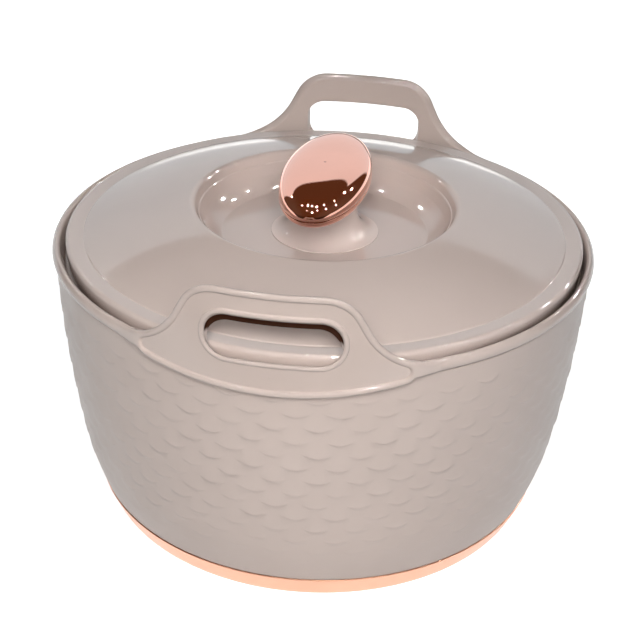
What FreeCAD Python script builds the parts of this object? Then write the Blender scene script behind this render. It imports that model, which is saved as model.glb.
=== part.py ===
import FreeCAD, Part
import math
import os
import Sketcher

# Insulated casserole: a foam-filled bowl with a steel liner, a rim collar that carries two
# upright handles, and a foam-filled lift-off lid with an oval knob.
# Millimetres, +Z up, origin on the ground at the bowl's axis, handles at -Y and +Y.

doc = FreeCAD.newDocument("casserole")
sheet = doc.addObject("Spreadsheet::Sheet", "Sizes")

SIZES = (
    # name, size, what it sets
    ("rim_radius", 125.0, "outermost radius of the rim bead"),
    ("rim_top", 130.0, "height of the rim"),
    ("rim_width", 3.7, "radial width of the rim bead"),
    ("rim_rounding", 1.8, "radius of the rim bead's top edges"),
    ("seam_drop", 5.8, "rim top down to the joint between bowl and collar"),
    ("seam_inset", 1.5, "how far the bowl's top edge lies inside the rim bead"),
    ("base_inset", 20.8, "how far the ground edge lies inside the rim"),
    ("belly_inset", 9.9, "how far the wall lies inside the rim where its curve eases"),
    ("belly_height", 34.7, "height where the wall's curve eases"),
    ("foot_bulge", 1.25, "bulge of the lower wall beyond a straight cone"),
    ("flank_bulge", 1.6, "bulge of the upper wall beyond a straight cone"),
    ("bowl_wall", 2.5, "thickness of the outer bowl"),
    ("lap_wall", 1.3, "thickness of the bowl's edge outside the collar's spigot"),
    ("lap_depth", 7.2, "height of the lap between bowl and collar"),
    ("fit_gap", 0.2, "clearance between moulded pieces that fit into each other"),
    ("lid_gap", 0.3, "clearance between the seated lid and what it rests on"),
    ("ledge_depth", 8.8, "rim top down to the lid's ledge"),
    ("ledge_width", 7.6, "radial width of the lid's ledge"),
    ("ledge_thickness", 2.8, "thickness of the lid's ledge"),
    ("rim_batter", 1.7, "how much the rim's inner wall narrows down to the ledge"),
    ("spigot_wall", 3.6, "thickness of the collar's spigot"),
    ("mouth_step", 2.0, "how far the liner's mouth lies inside the ledge"),
    ("liner_taper", 9.0, "how much the liner narrows down to its bottom curve"),
    ("knee_rise", 28.0, "height of the liner's bottom curve above its floor"),
    ("liner_corner", 23.0, "radial width of the liner's bottom curve"),
    ("liner_floor", 14.0, "height of the liner's floor"),
    ("liner_bulge", 7.0, "bulge of the liner's bottom curve"),
    ("steel", 0.6, "thickness of the liner's sheet"),
    ("band_height", 11.0, "height of the base band"),
    ("band_wall", 2.0, "thickness of the base band behind the wall's line"),
    ("band_proud", 0.6, "how far the base band stands out of the wall"),
    ("band_lip", 1.8, "thickness of the base band's foot lip"),
    ("lip_width", 8.1, "radial width of the base band's foot lip"),
    ("foot_inset", 4.2, "how far the bowl's lower opening lies inside the ground edge"),
    ("base_plate_wall", 2.4, "thickness of the base plate"),
    ("plug_radius", 6.0, "radius of the foam filling holes"),
    ("plug_head_radius", 9.0, "radius of the filling plugs' heads"),
    ("plug_head", 1.0, "thickness of the filling plugs' heads"),
    ("plate_proud", 0.3, "how far the handle plates stand out of the rim bead"),
    ("plate_wall", 3.3, "thickness of the handle plates"),
    ("bead_height", 1.3, "how far the handles' beads stand out of the plates"),
    ("bead_width", 2.8, "width of the handles' beads"),
    ("bead_corner", 16.0, "slope, in degrees, at which the handle's panel ends beside the rim"),
    ("handle_height", 32.2, "handle top above the rim"),
    ("handle_top_half", 21.0, "half length of the handle's straight top edge"),
    ("handle_shoulder", 17.5, "radius of the handle's shoulders"),
    ("handle_foot", 32.0, "radius where the handle runs into the rim"),
    ("handle_sink", 0.3, "how far the handle's sides run on into the rim"),
    ("handle_slope", 62.0, "steepest slope of the handle's sides, degrees"),
    ("apron_half", 57.5, "half width of the apron below the handle"),
    ("apron_drop", 13.6, "rim top down to the apron's lowest point"),
    ("apron_corner_drop", 6.9, "rim top down to the apron's corners"),
    ("slot_half", 29.2, "half width of the finger slot"),
    ("slot_sill", 0.4, "finger slot's lower edge above the rim"),
    ("handle_bar", 11.2, "height of the handle above its finger slot"),
    ("slot_straight", 3.0, "straight part of the finger slot's ends, between its corners"),
    ("slot_lintel", 3.8, "how much lower the slot's top edge is at the back"),
    ("lid_play", 1.9, "gap between the rim and the lid's edge"),
    ("shoulder_rise", 0.5, "start of the lid's rounded edge above the rim"),
    ("lid_draft", 0.7, "how much the lid's skirt narrows to its lower edge"),
    ("edge_width", 8.8, "radial width of the band between the lid's edge and its crease"),
    ("crease_rise", 2.9, "height of the crease above the rim"),
    ("edge_bulge", 1.6, "bulge of the lid's rounded edge"),
    ("crest_radius", 61.1, "radius of the crest around the lid's well"),
    ("crest_rise", 15.4, "height of the crest around the well above the rim"),
    ("dome_bulge", 1.6, "bulge of the lid's dome beyond a straight cone"),
    ("well_run", 13.1, "radial width of the well's sloping wall"),
    ("well_depth", 15.4, "depth of the well below its crest"),
    ("well_lip", 2.2, "rounding between dome and well wall"),
    ("well_bulge", 2.0, "how far the well's wall sags below a straight cone"),
    ("lid_wall", 2.4, "thickness of the lid's shell"),
    ("lid_plate_wall", 2.0, "thickness of the lid's inner plate"),
    ("pan_gap", 1.5, "clearance between the inner plate's pan and the liner's mouth"),
    ("lid_plug_depth", 9.0, "depth of the inner plate's pan"),
    ("gasket_body", 1.7, "radial thickness of the gasket's body"),
    ("pedestal_foot", 25.0, "radius of the pedestal's foot"),
    ("waist_inset", 0.9, "how much slimmer the pedestal's waist is than its head"),
    ("waist_rise", 11.0, "height of the pedestal's waist above the well's floor"),
    ("pedestal_head", 15.8, "radius of the pedestal's head"),
    ("pedestal_height", 18.0, "height of the pedestal's shoulder above the well's floor"),
    ("neck_inset", 2.8, "how much slimmer the neck that enters the knob is than the head"),
    ("neck_height", 2.4, "height of the neck that enters the knob"),
    ("knob_half_length", 46.5, "half length of the oval knob, along Y"),
    ("knob_half_width", 20.2, "half width of the oval knob"),
    ("knob_half_height", 9.0, "half height of the oval knob"),
    ("knob_seat", 0.1, "clearance between the knob's lowest point and the pedestal's shoulder"),
    ("knob_fullness", 2.5, "exponent of the knob's rounded section: 2 is an ellipse"),
    ("knob_wall", 2.2, "thickness of the knob's shells"),
    ("core_gap", 1.8, "clearance between the knob's core and the top of the shell over it"),
    ("insert_length", 7.0, "length of the threaded insert"),
    ("insert_radius", 3.4, "outer radius of the threaded insert"),
    ("screw_radius", 2.0, "radius of the knob screw's shank"),
    ("screw_gap", 0.05, "clearance between the screw and what it threads into"),
    ("bore_gap", 0.3, "clearance between the screw and what it passes through"),
    ("screw_head_radius", 4.0, "radius of the knob screw's head"),
    ("screw_head", 2.6, "height of the knob screw's head"),
    ("washer_radius", 7.0, "radius of the washer under the screw's head"),
    ("washer_wall", 1.0, "thickness of the washer"),
)
for row, (name, number, meaning) in enumerate(SIZES, start=1):
    sheet.set(f"A{row}", name)
    sheet.set(f"B{row}", str(number))
    sheet.setAlias(f"B{row}", name)
    sheet.set(f"C{row}", meaning)
doc.recompute()


class Size:
    """A length, held both as the sheet expression that binds it and as its value."""

    def __init__(self, text, value):
        self.text = text
        self.value = value

    def __add__(self, other):
        other = as_size(other)
        return Size(f"({self.text} + {other.text})", self.value + other.value)

    def __sub__(self, other):
        other = as_size(other)
        return Size(f"({self.text} - {other.text})", self.value - other.value)

    def __mul__(self, factor):
        factor = as_size(factor)
        return Size(f"({self.text} * {factor.text})", self.value * factor.value)

    def __truediv__(self, factor):
        factor = as_size(factor)
        return Size(f"({self.text} / {factor.text})", self.value / factor.value)

    def __neg__(self):
        return Size(f"(0 - {self.text})", -self.value)


def as_size(number):
    """A plain number as a Size; a Size stays as it is."""
    return number if isinstance(number, Size) else Size(repr(float(number)), float(number))


def cell(name):
    """The Size held in one cell of the sheet."""
    return Size(f"Sizes.{name}", float(sheet.get(name)))


def sine(degrees):
    return Size(f"sin({degrees.text} * 1 deg)", math.sin(math.radians(degrees.value)))


def cosine(degrees):
    return Size(f"cos({degrees.text} * 1 deg)", math.cos(math.radians(degrees.value)))


rim_radius, rim_top, rim_width = cell("rim_radius"), cell("rim_top"), cell("rim_width")
rim_rounding, seam_height = cell("rim_rounding"), rim_top - cell("seam_drop")
fit_gap, lid_gap = cell("fit_gap"), cell("lid_gap")
seam_radius = rim_radius - cell("seam_inset")
rim_inner = rim_radius - rim_width
ledge_corner = rim_inner - cell("rim_batter")
ledge_radius = ledge_corner - cell("ledge_width")
ledge_top = rim_top - cell("ledge_depth")
ledge_under = ledge_top - cell("ledge_thickness")
lap_bottom = seam_height - cell("lap_depth")
lid_bottom = ledge_top + lid_gap
pan_bottom = lid_bottom - cell("lid_plug_depth")


# ---------------------------------------------------------------- sketch helpers


class Through:
    """Marks the point that an arc passes through between two corners of a path."""

    def __init__(self, across, up):
        self.across = as_size(across)
        self.up = as_size(up)


def circle_through(first, middle, last):
    """Centre and radius of the circle through three points (x, y)."""
    (ax, ay), (bx, by), (cx, cy) = first, middle, last
    twice_area = 2.0 * (ax * (by - cy) + bx * (cy - ay) + cx * (ay - by))
    a2, b2, c2 = ax * ax + ay * ay, bx * bx + by * by, cx * cx + cy * cy
    centre_x = (a2 * (by - cy) + b2 * (cy - ay) + c2 * (ay - by)) / twice_area
    centre_y = (a2 * (cx - bx) + b2 * (ax - cx) + c2 * (bx - ax)) / twice_area
    return centre_x, centre_y, math.hypot(ax - centre_x, ay - centre_y)


def bind(sketch, constraint, size):
    """Add a constraint and bind its value to the sheet."""
    index = sketch.addConstraint(constraint)
    sketch.setExpression(f"Constraints[{index}]", size.text)


def pin(sketch, geometry, end, across, up):
    """Hold one end of a sketch element at (across, up) from the sketch's origin."""
    for kind, axis, size in (("DistanceX", -2, across), ("DistanceY", -1, up)):
        if size.value == 0.0:
            sketch.addConstraint(Sketcher.Constraint("PointOnObject", geometry, end, axis))
        else:
            constraint = Sketcher.Constraint(kind, -1, 1, geometry, end, size.value)
            bind(sketch, constraint, size)


def draw(sketch, path):
    """Draw a closed path of corners (across, up), with a Through between those joined by an arc."""
    corners, middles = [], []
    for item in path:
        if isinstance(item, Through):
            middles[-1] = item
        else:
            corners.append((as_size(item[0]), as_size(item[1])))
            middles.append(None)
    ends = []
    for index, middle in enumerate(middles):
        first = corners[index]
        last = corners[(index + 1) % len(corners)]
        a = (first[0].value, first[1].value)
        c = (last[0].value, last[1].value)
        if middle is None:
            line = Part.LineSegment(FreeCAD.Vector(*a, 0), FreeCAD.Vector(*c, 0))
            ends.append((sketch.addGeometry(line, False), 1, 2))
            continue
        b = (middle.across.value, middle.up.value)
        centre_x, centre_y, radius = circle_through(a, b, c)
        start = math.atan2(a[1] - centre_y, a[0] - centre_x)
        stop = math.atan2(c[1] - centre_y, c[0] - centre_x)
        turns_left = (b[0] - a[0]) * (c[1] - b[1]) > (b[1] - a[1]) * (c[0] - b[0])
        circle = Part.Circle(FreeCAD.Vector(centre_x, centre_y, 0), FreeCAD.Vector(0, 0, 1), radius)
        if turns_left:
            arc = sketch.addGeometry(Part.ArcOfCircle(circle, start, stop), False)
            ends.append((arc, 1, 2))
        else:
            arc = sketch.addGeometry(Part.ArcOfCircle(circle, stop, start), False)
            ends.append((arc, 2, 1))
        point = sketch.addGeometry(Part.Point(FreeCAD.Vector(*b, 0)), True)
        pin(sketch, point, 1, middle.across, middle.up)
        sketch.addConstraint(Sketcher.Constraint("PointOnObject", point, 1, arc))
    for index, (geometry, begin, finish) in enumerate(ends):
        following, following_begin, _ = ends[(index + 1) % len(ends)]
        meet = Sketcher.Constraint("Coincident", geometry, finish, following, following_begin)
        sketch.addConstraint(meet)
        pin(sketch, geometry, begin, *corners[index])


def origin_plane(body, role):
    """One of the body's own origin planes."""
    return [plane for plane in body.Origin.OriginFeatures if plane.Role == role][0]


def new_body(label):
    body = doc.addObject("PartDesign::Body", label)
    body.Label = label
    return body


def new_sketch(body, name, role, path, offset=None):
    """A closed sketch on one of the body's origin planes, moved off it by an optional offset."""
    sketch = body.newObject("Sketcher::SketchObject", name)
    sketch.AttachmentSupport = [(origin_plane(body, role), "")]
    sketch.MapMode = "FlatFace"
    if offset is not None:
        sketch.setExpression("AttachmentOffset.Base.z", offset.text)
    draw(sketch, path)
    doc.recompute()
    return sketch


def turned(label, path):
    """A body turned about Z from a profile of (radius, height) points."""
    body = new_body(label)
    sketch = new_sketch(body, f"{label}_profile", "XZ_Plane", path)
    revolution = body.newObject("PartDesign::Revolution", f"{label}_turned")
    revolution.Profile = sketch
    revolution.ReferenceAxis = (sketch, ["V_Axis"])
    revolution.Angle = 360.0
    body.Tip = revolution
    doc.recompute()
    return body


def padded(label, path, depth):
    """A body padded from a sketch of (x, z) points, half its depth to each side of the XZ plane."""
    body = new_body(label)
    sketch = new_sketch(body, f"{label}_outline", "XZ_Plane", path)
    pad = body.newObject("PartDesign::Pad", f"{label}_pad")
    pad.Profile = sketch
    pad.SideType = "Symmetric"
    pad.setExpression("Length", depth.text)
    body.Tip = pad
    doc.recompute()
    return body


def joined(kind, label, base, tool):
    """A Part boolean of two objects."""
    boolean = doc.addObject(kind, label)
    boolean.Base = base
    boolean.Tool = tool
    boolean.Label = label
    doc.recompute()
    return boolean


# ---------------------------------------------------------------- the bowl's outer curve

base_radius, belly_radius = rim_radius - cell("base_inset"), rim_radius - cell("belly_inset")
belly_height, band_proud = cell("belly_height"), cell("band_proud")
wall_foot = base_radius - band_proud


def wall_radius(height):
    """Outer radius of the bowl at a height: two shallow curves that meet at the belly."""
    height = as_size(height)
    if height.value <= belly_height.value:
        low, high, bulge = (wall_foot, as_size(0.0)), (belly_radius, belly_height), cell("foot_bulge")
    else:
        low, high, bulge = (belly_radius, belly_height), (seam_radius, seam_height), cell("flank_bulge")
    half = (high[1] - low[1]) / 2
    offset = height - (low[1] + high[1]) / 2
    lean = (high[0] - low[0]) / (high[1] - low[1])
    return (low[0] + high[0]) / 2 + lean * offset + bulge * (as_size(1.0) - (offset / half) * (offset / half))


def wall_point(height, inset=0.0):
    """Profile corner on the bowl's wall, or an inset inside it."""
    return wall_radius(height) - inset, as_size(height)


def wall_middle(low, high, inset=0.0):
    """Point on the wall midway between two heights, for the arc that joins them."""
    height = (as_size(low) + high) / 2
    return Through(wall_radius(height) - inset, height)


# ---------------------------------------------------------------- bowl, band and base plate

band_height, band_wall, band_lip = cell("band_height"), cell("band_wall"), cell("band_lip")
bowl_wall, bowl_foot = cell("bowl_wall"), base_radius - cell("foot_inset")
base_plate_wall, plug_radius = cell("base_plate_wall"), cell("plug_radius")
band_joint = band_height + fit_gap
skirt_inset = band_wall + fit_gap
bowl_bottom = band_lip + fit_gap
inner_wall_start = band_joint + bowl_wall
lap_inset = cell("lap_wall")

turned("outer_bowl", [
    (bowl_foot, bowl_bottom),
    wall_point(bowl_bottom, skirt_inset),
    wall_middle(bowl_bottom, band_joint, skirt_inset),
    wall_point(band_joint, skirt_inset),
    wall_point(band_joint),
    wall_middle(band_joint, belly_height),
    wall_point(belly_height),
    wall_middle(belly_height, seam_height),
    wall_point(seam_height),
    wall_point(seam_height, lap_inset),
    wall_point(lap_bottom, lap_inset),
    wall_point(lap_bottom, bowl_wall),
    wall_middle(belly_height, lap_bottom, bowl_wall),
    wall_point(belly_height, bowl_wall),
    wall_middle(inner_wall_start, belly_height, bowl_wall),
    wall_point(inner_wall_start, bowl_wall),
    (bowl_foot, band_joint),
])

lip_inner = base_radius - cell("lip_width")
turned("base_band", [
    (lip_inner, 0.0),
    (base_radius, 0.0),
    wall_middle(0.0, band_height, -band_proud),
    wall_point(band_height, -band_proud),
    wall_point(band_height, band_wall),
    wall_middle(band_lip, band_height, band_wall),
    wall_point(band_lip, band_wall),
    (lip_inner, band_lip),
])

base_plate_top = bowl_bottom + base_plate_wall
turned("base_plate", [
    (plug_radius, bowl_bottom),
    (bowl_foot - fit_gap, bowl_bottom),
    (bowl_foot - fit_gap, base_plate_top),
    (plug_radius, base_plate_top),
])


def filling_plug(label, face, wall):
    """Plug pushed up into a filling hole whose lower face is at the given height."""
    turned(label, [
        (0.0, face - cell("plug_head")),
        (cell("plug_head_radius"), face - cell("plug_head")),
        (cell("plug_head_radius"), face),
        (plug_radius - fit_gap, face),
        (plug_radius - fit_gap, face + wall),
        (0.0, face + wall),
    ])


filling_plug("body_fill_plug", bowl_bottom, base_plate_wall)

# ---------------------------------------------------------------- steel liner and body foam

steel = cell("steel")
liner_mouth, liner_floor = ledge_radius - cell("mouth_step"), cell("liner_floor")
knee_radius, knee_height = liner_mouth - cell("liner_taper"), liner_floor + cell("knee_rise")
floor_radius, liner_bulge = knee_radius - cell("liner_corner"), cell("liner_bulge")
spigot_outer = wall_radius(lap_bottom) - lap_inset - fit_gap
spigot_inner = spigot_outer - cell("spigot_wall")
flange_top = ledge_under - fit_gap / 2
flange_radius = spigot_inner - fit_gap
curve_radius = (knee_radius + floor_radius) / 2 + liner_bulge
curve_height = (knee_height + liner_floor) / 2 - liner_bulge


def liner_path(thickness):
    """Liner profile points from the axis to the mouth, on its inner face or a thickness outside it."""
    return [
        (0.0, liner_floor - thickness),
        (floor_radius, liner_floor - thickness),
        Through(curve_radius + thickness * 0.7, curve_height - thickness * 0.7),
        (knee_radius + thickness, knee_height),
        (liner_mouth + thickness, flange_top - thickness),
    ]


turned("inner_liner", liner_path(steel) + [
    (flange_radius, flange_top - steel),
    (flange_radius, flange_top),
    (liner_mouth, flange_top),
] + liner_path(as_size(0.0))[-2::-1])

foam_gap = fit_gap
foam_inset = bowl_wall + foam_gap
foam_top = flange_top - steel - foam_gap
foam_bottom = base_plate_top + foam_gap
foam_start = inner_wall_start + foam_gap
turned("body_foam", liner_path(steel + foam_gap)[:-1] + [
    (liner_mouth + steel + foam_gap, foam_top),
    (flange_radius, foam_top),
    (flange_radius, lap_bottom - foam_gap),
    wall_point(lap_bottom - foam_gap, foam_inset),
    wall_middle(belly_height, lap_bottom, foam_inset),
    wall_point(belly_height, foam_inset),
    wall_middle(foam_start, belly_height, foam_inset),
    wall_point(foam_start, foam_inset),
    (bowl_foot - foam_gap, band_joint),
    (bowl_foot - foam_gap, foam_bottom),
    (0.0, foam_bottom),
])

# ---------------------------------------------------------------- rim collar with both handles

rim_middle = (rim_top + seam_height) / 2
rim_ring = turned("rim_ring", [
    (seam_radius, seam_height),
    Through(rim_radius, rim_middle),
    (rim_radius - rim_rounding / 2, rim_top - rim_rounding / 2),
    Through(rim_radius - rim_rounding, rim_top - rim_rounding * 0.12),
    ((rim_radius + rim_inner) / 2, rim_top),
    Through(rim_inner + rim_rounding * 0.4, rim_top - rim_rounding * 0.25),
    (rim_inner, rim_top - rim_rounding),
    (ledge_corner, ledge_top),
    (ledge_radius, ledge_top),
    (ledge_radius, ledge_under),
    (spigot_inner, ledge_under),
    (spigot_inner, lap_bottom + fit_gap),
    (spigot_outer, lap_bottom + fit_gap),
    (spigot_outer, seam_height),
])

handle_slope = cell("handle_slope")
handle_top = rim_top + cell("handle_height")
shoulder, foot = cell("handle_shoulder"), cell("handle_foot")
top_half, bead_width = cell("handle_top_half"), cell("bead_width")
sink = cell("handle_sink")
slope_rise = cell("handle_height") + sink - (shoulder + foot) * (as_size(1.0) - cosine(handle_slope))
slope_run = slope_rise / (sine(handle_slope) / cosine(handle_slope))
foot_centre = top_half + (shoulder + foot) * sine(handle_slope) + slope_run
apron_half, apron_corner = cell("apron_half"), rim_top - cell("apron_corner_drop")
apron_low = rim_top - cell("apron_drop")
apron_tuck = rim_top - bead_width


def handle_outline(inset, foot_end):
    """Front view of a handle plate with its apron, moved inwards by the inset.

    foot_end is the slope at which the sides' lower curves end: 0 where they run level into the rim."""
    shoulder_arc, foot_arc = shoulder - inset, foot + inset
    half_shoulder, half_foot = handle_slope / 2, (handle_slope + foot_end) / 2
    shoulder_height = handle_top - shoulder
    foot_height = rim_top + foot - sink
    right = [(apron_half - inset, apron_corner + inset)]
    if inset.value == 0.0:
        right.append((foot_centre, apron_tuck))
    right += [
        (foot_centre - foot_arc * sine(foot_end), foot_height - foot_arc * cosine(foot_end)),
        Through(foot_centre - foot_arc * sine(half_foot), foot_height - foot_arc * cosine(half_foot)),
        (foot_centre - foot_arc * sine(handle_slope), foot_height - foot_arc * cosine(handle_slope)),
        (top_half + shoulder_arc * sine(handle_slope), shoulder_height + shoulder_arc * cosine(handle_slope)),
        Through(top_half + shoulder_arc * sine(half_shoulder),
                shoulder_height + shoulder_arc * cosine(half_shoulder)),
        (top_half, handle_top - inset),
    ]
    left = []
    for item in reversed(right):
        if isinstance(item, Through):
            left.append(Through(-item.across, item.up))
        else:
            left.append((-item[0], item[1]))
    return right + left + [Through(0.0, apron_low + inset)]


no_size = as_size(0.0)
through_all = (rim_radius + cell("bead_height")) * 4
plate_face = rim_radius + cell("plate_proud")
plate_back = plate_face - cell("plate_wall")
bead_face = plate_face + cell("bead_height")
apron_back = wall_radius(seam_height) + fit_gap


plate_stock = turned("plate_stock", [
    (apron_back, apron_low - bead_width),
    (bead_face, apron_low - bead_width),
    (bead_face, handle_top + bead_width),
    (plate_back, handle_top + bead_width),
    (plate_back, seam_height + fit_gap),
    (apron_back, seam_height + fit_gap),
])
thick_plates = joined("Part::Common", "thick_plates", plate_stock,
                      padded("plate_outline", handle_outline(no_size, no_size), through_all))

slot_half = cell("slot_half")
slot_low = rim_top + cell("slot_sill")
slot_high = handle_top - cell("handle_bar")
slot_corner = (slot_high - slot_low - cell("slot_straight")) / 2


def slot_outline(grow, lintel):
    """Front view of the finger slot, grown by a margin, its top edge lowered by the lintel."""
    half, low, high = slot_half + grow, slot_low - grow, slot_high + grow - lintel
    corner = slot_corner + grow - lintel / 2
    nick = corner * (1.0 - math.sqrt(0.5))
    right = [
        (half - corner, low),
        Through(half - nick, low + nick),
        (half, low + corner),
        (half, high - corner),
        Through(half - nick, high - nick),
        (half - corner, high),
    ]
    left = []
    for item in reversed(right):
        if isinstance(item, Through):
            left.append(Through(-item.across, item.up))
        else:
            left.append((-item[0], item[1]))
    return right + left


recess_outline = joined("Part::Cut", "recess_outline",
                        padded("bead_opening", handle_outline(bead_width, cell("bead_corner")), through_all),
                        padded("slot_bead_outline", slot_outline(bead_width, no_size), through_all))
recess_ring = turned("recess_ring", [
    (plate_face, apron_low - bead_width),
    (bead_face + bead_width, apron_low - bead_width),
    (bead_face + bead_width, handle_top + bead_width),
    (plate_face, handle_top + bead_width),
])
recesses = joined("Part::Common", "recesses", recess_ring, recess_outline)
beaded_plates = joined("Part::Cut", "beaded_plates", thick_plates, recesses)


def slot_cutter(label, side):
    """Tapered block for one finger slot: full height outside, lower at the back of the plate."""
    body = new_body(label)
    reach = cell("bead_height") * 4
    near = new_sketch(body, f"{label}_back", "XZ_Plane",
                      slot_outline(no_size, cell("slot_lintel")), (plate_back - reach) * side)
    far = new_sketch(body, f"{label}_face", "XZ_Plane",
                     slot_outline(no_size, no_size), (bead_face + fit_gap) * side)
    loft = body.newObject("PartDesign::AdditiveLoft", f"{label}_block")
    loft.Profile = near
    loft.Sections = [far]
    loft.Ruled = True
    body.Tip = loft
    doc.recompute()
    return body


slots = joined("Part::Fuse", "finger_slots", slot_cutter("front_slot", 1.0), slot_cutter("rear_slot", -1.0))
slotted_plates = joined("Part::Cut", "slotted_plates", beaded_plates, slots)
joined("Part::Fuse", "handle_collar", rim_ring, slotted_plates)

# ---------------------------------------------------------------- lid

lid_radius, lid_wall = rim_inner - cell("lid_play"), cell("lid_wall")
lid_shoulder = rim_top + cell("shoulder_rise")
crease_radius, crease_height = lid_radius - cell("edge_width"), rim_top + cell("crease_rise")
crest_radius, crest_height = cell("crest_radius"), rim_top + cell("crest_rise")
well_radius, well_floor = crest_radius - cell("well_run"), crest_height - cell("well_depth")
well_lip = cell("well_lip")
edge_bulge, dome_bulge, well_bulge = cell("edge_bulge"), cell("dome_bulge"), cell("well_bulge")
skirt_radius = lid_radius - cell("lid_draft")
screw_hole = cell("screw_radius") + cell("bore_gap")


def lid_path(inset):
    """Lid profile from its lower edge to the screw hole, on its outer face or an inset under it."""
    dome_middle = ((crease_radius + crest_radius) / 2 - inset * 0.25,
                   (crease_height + crest_height) / 2 + dome_bulge - inset)
    return [
        (skirt_radius - inset, lid_bottom),
        (lid_radius - inset, lid_shoulder),
        Through((lid_radius + crease_radius) / 2 + edge_bulge - inset * 0.7,
                (lid_shoulder + crease_height) / 2 + edge_bulge - inset * 0.7),
        (crease_radius - inset * 0.2, crease_height - inset),
        Through(*dome_middle),
        (crest_radius + well_lip - inset * 0.1, crest_height - well_lip * 0.15 - inset),
        Through(crest_radius + inset * 0.2, crest_height - well_lip * 0.3 - inset * 0.9),
        (crest_radius - well_lip * 0.8 + inset * 0.5, crest_height - well_lip * 1.1 - inset * 0.8),
        Through((crest_radius + well_radius) / 2 + well_bulge * 0.2 + inset * 0.3,
                (crest_height + well_floor) / 2 - well_bulge - inset * 0.9),
        (well_radius, well_floor - inset),
        (screw_hole, well_floor - inset),
    ]


def backwards(path):
    return path[::-1]


turned("lid_shell", lid_path(no_size) + backwards(lid_path(lid_wall)))

pan_radius, pan_wall = liner_mouth - cell("pan_gap"), cell("lid_plate_wall")
plate_rim = skirt_radius - lid_wall - fit_gap
turned("lid_inner_plate", [
    (plug_radius, pan_bottom),
    (pan_radius, pan_bottom),
    (pan_radius, lid_bottom),
    (plate_rim, lid_bottom),
    (plate_rim, lid_bottom + pan_wall),
    (pan_radius - pan_wall, lid_bottom + pan_wall),
    (pan_radius - pan_wall, pan_bottom + pan_wall),
    (plug_radius, pan_bottom + pan_wall),
])
filling_plug("lid_fill_plug", pan_bottom, pan_wall)

gasket_inner = pan_radius + fit_gap
gasket_outer = gasket_inner + cell("gasket_body")
gasket_lip = ledge_radius - lid_gap
gasket_top = lid_bottom - fit_gap / 2
gasket_bottom = flange_top + lid_gap
gasket_height = gasket_top - gasket_bottom
turned("lid_gasket", [
    (gasket_inner, gasket_bottom),
    (gasket_outer, gasket_bottom),
    (gasket_outer, gasket_bottom + gasket_height / 3),
    (gasket_lip, gasket_bottom + gasket_height * 0.55),
    (gasket_lip, gasket_bottom + gasket_height * 0.75),
    (gasket_outer, gasket_bottom + gasket_height * 0.6),
    (gasket_outer, gasket_top),
    (gasket_inner, gasket_top),
])

washer_top = well_floor - lid_wall
washer_bottom = washer_top - cell("washer_wall")
head_bottom = washer_bottom - cell("screw_head")
pocket_radius = cell("washer_radius") + foam_gap * 2
foam_lid = lid_path(lid_wall + foam_gap)
turned("lid_foam", [
    (0.0, pan_bottom + pan_wall + foam_gap),
    (pan_radius - pan_wall - foam_gap, pan_bottom + pan_wall + foam_gap),
    (pan_radius - pan_wall - foam_gap, lid_bottom + pan_wall + foam_gap),
    (skirt_radius - lid_wall - foam_gap, lid_bottom + pan_wall + foam_gap),
] + foam_lid[1:-1] + [
    (pocket_radius, washer_top - foam_gap),
    (pocket_radius, head_bottom - foam_gap * 2),
    (0.0, head_bottom - foam_gap * 2),
])

# ---------------------------------------------------------------- pedestal and knob

pedestal_foot, pedestal_head = cell("pedestal_foot"), cell("pedestal_head")
waist, neck_radius = pedestal_head - cell("waist_inset"), pedestal_head - cell("neck_inset")
waist_rise, pedestal_top = cell("waist_rise"), well_floor + cell("pedestal_height")
waist_height = well_floor + waist_rise
neck_top = pedestal_top + cell("neck_height")
turned("knob_pedestal", [
    (screw_hole, well_floor),
    (pedestal_foot, well_floor),
    Through(waist + (pedestal_foot - waist) * 0.24, well_floor + waist_rise * 0.38),
    (waist, waist_height),
    Through(waist + (pedestal_head - waist) * 0.25, (waist_height + pedestal_top) / 2),
    (pedestal_head, pedestal_top),
    (neck_radius, pedestal_top),
    (neck_radius, neck_top),
    (screw_hole, neck_top),
])

half_length, half_width = cell("knob_half_length"), cell("knob_half_width")
half_height = cell("knob_half_height")
knob_middle = pedestal_top + half_height + cell("knob_seat")
knob_wall = cell("knob_wall")
SECTION_STEPS = 12


def oval_solid(label, inset):
    """Rounded oval: a full section turned about Z, then narrowed across X."""
    length = half_length.value - inset
    height = half_height.value - inset
    power = 2.0 / cell("knob_fullness").value
    points = []
    for step in range(SECTION_STEPS + 1):
        angle = math.pi * (step / SECTION_STEPS - 0.5)
        across = length * abs(math.cos(angle)) ** power
        up = math.copysign(height * abs(math.sin(angle)) ** power, angle)
        points.append(FreeCAD.Vector(0.0 if step in (0, SECTION_STEPS) else across, 0.0, up))
    section = Part.BSplineCurve()
    section.interpolate(points)
    axis = Part.LineSegment(points[-1], points[0]).toShape()
    face = Part.Face(Part.Wire([section.toShape(), axis]))
    round_solid = face.revolve(FreeCAD.Vector(), FreeCAD.Vector(0, 0, 1), 360.0)
    narrowing = FreeCAD.Matrix()
    narrowing.A11 = (half_width.value - inset) / length
    solid = round_solid.transformGeometry(narrowing)
    oval = doc.addObject("Part::Feature", label)
    oval.Shape = Part.Solid(solid.Shells[0]) if solid.Shells else solid
    oval.Placement = FreeCAD.Placement(FreeCAD.Vector(0, 0, knob_middle.value), FreeCAD.Rotation())
    oval.Label = label
    return oval


def cylinder(label, radius, low, high):
    """A Part cylinder on the axis, bound to the sheet."""
    barrel = doc.addObject("Part::Cylinder", label)
    barrel.setExpression("Radius", radius.text)
    barrel.setExpression("Height", (high - low).text)
    barrel.setExpression("Placement.Base.z", low.text)
    doc.recompute()
    return barrel


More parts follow.
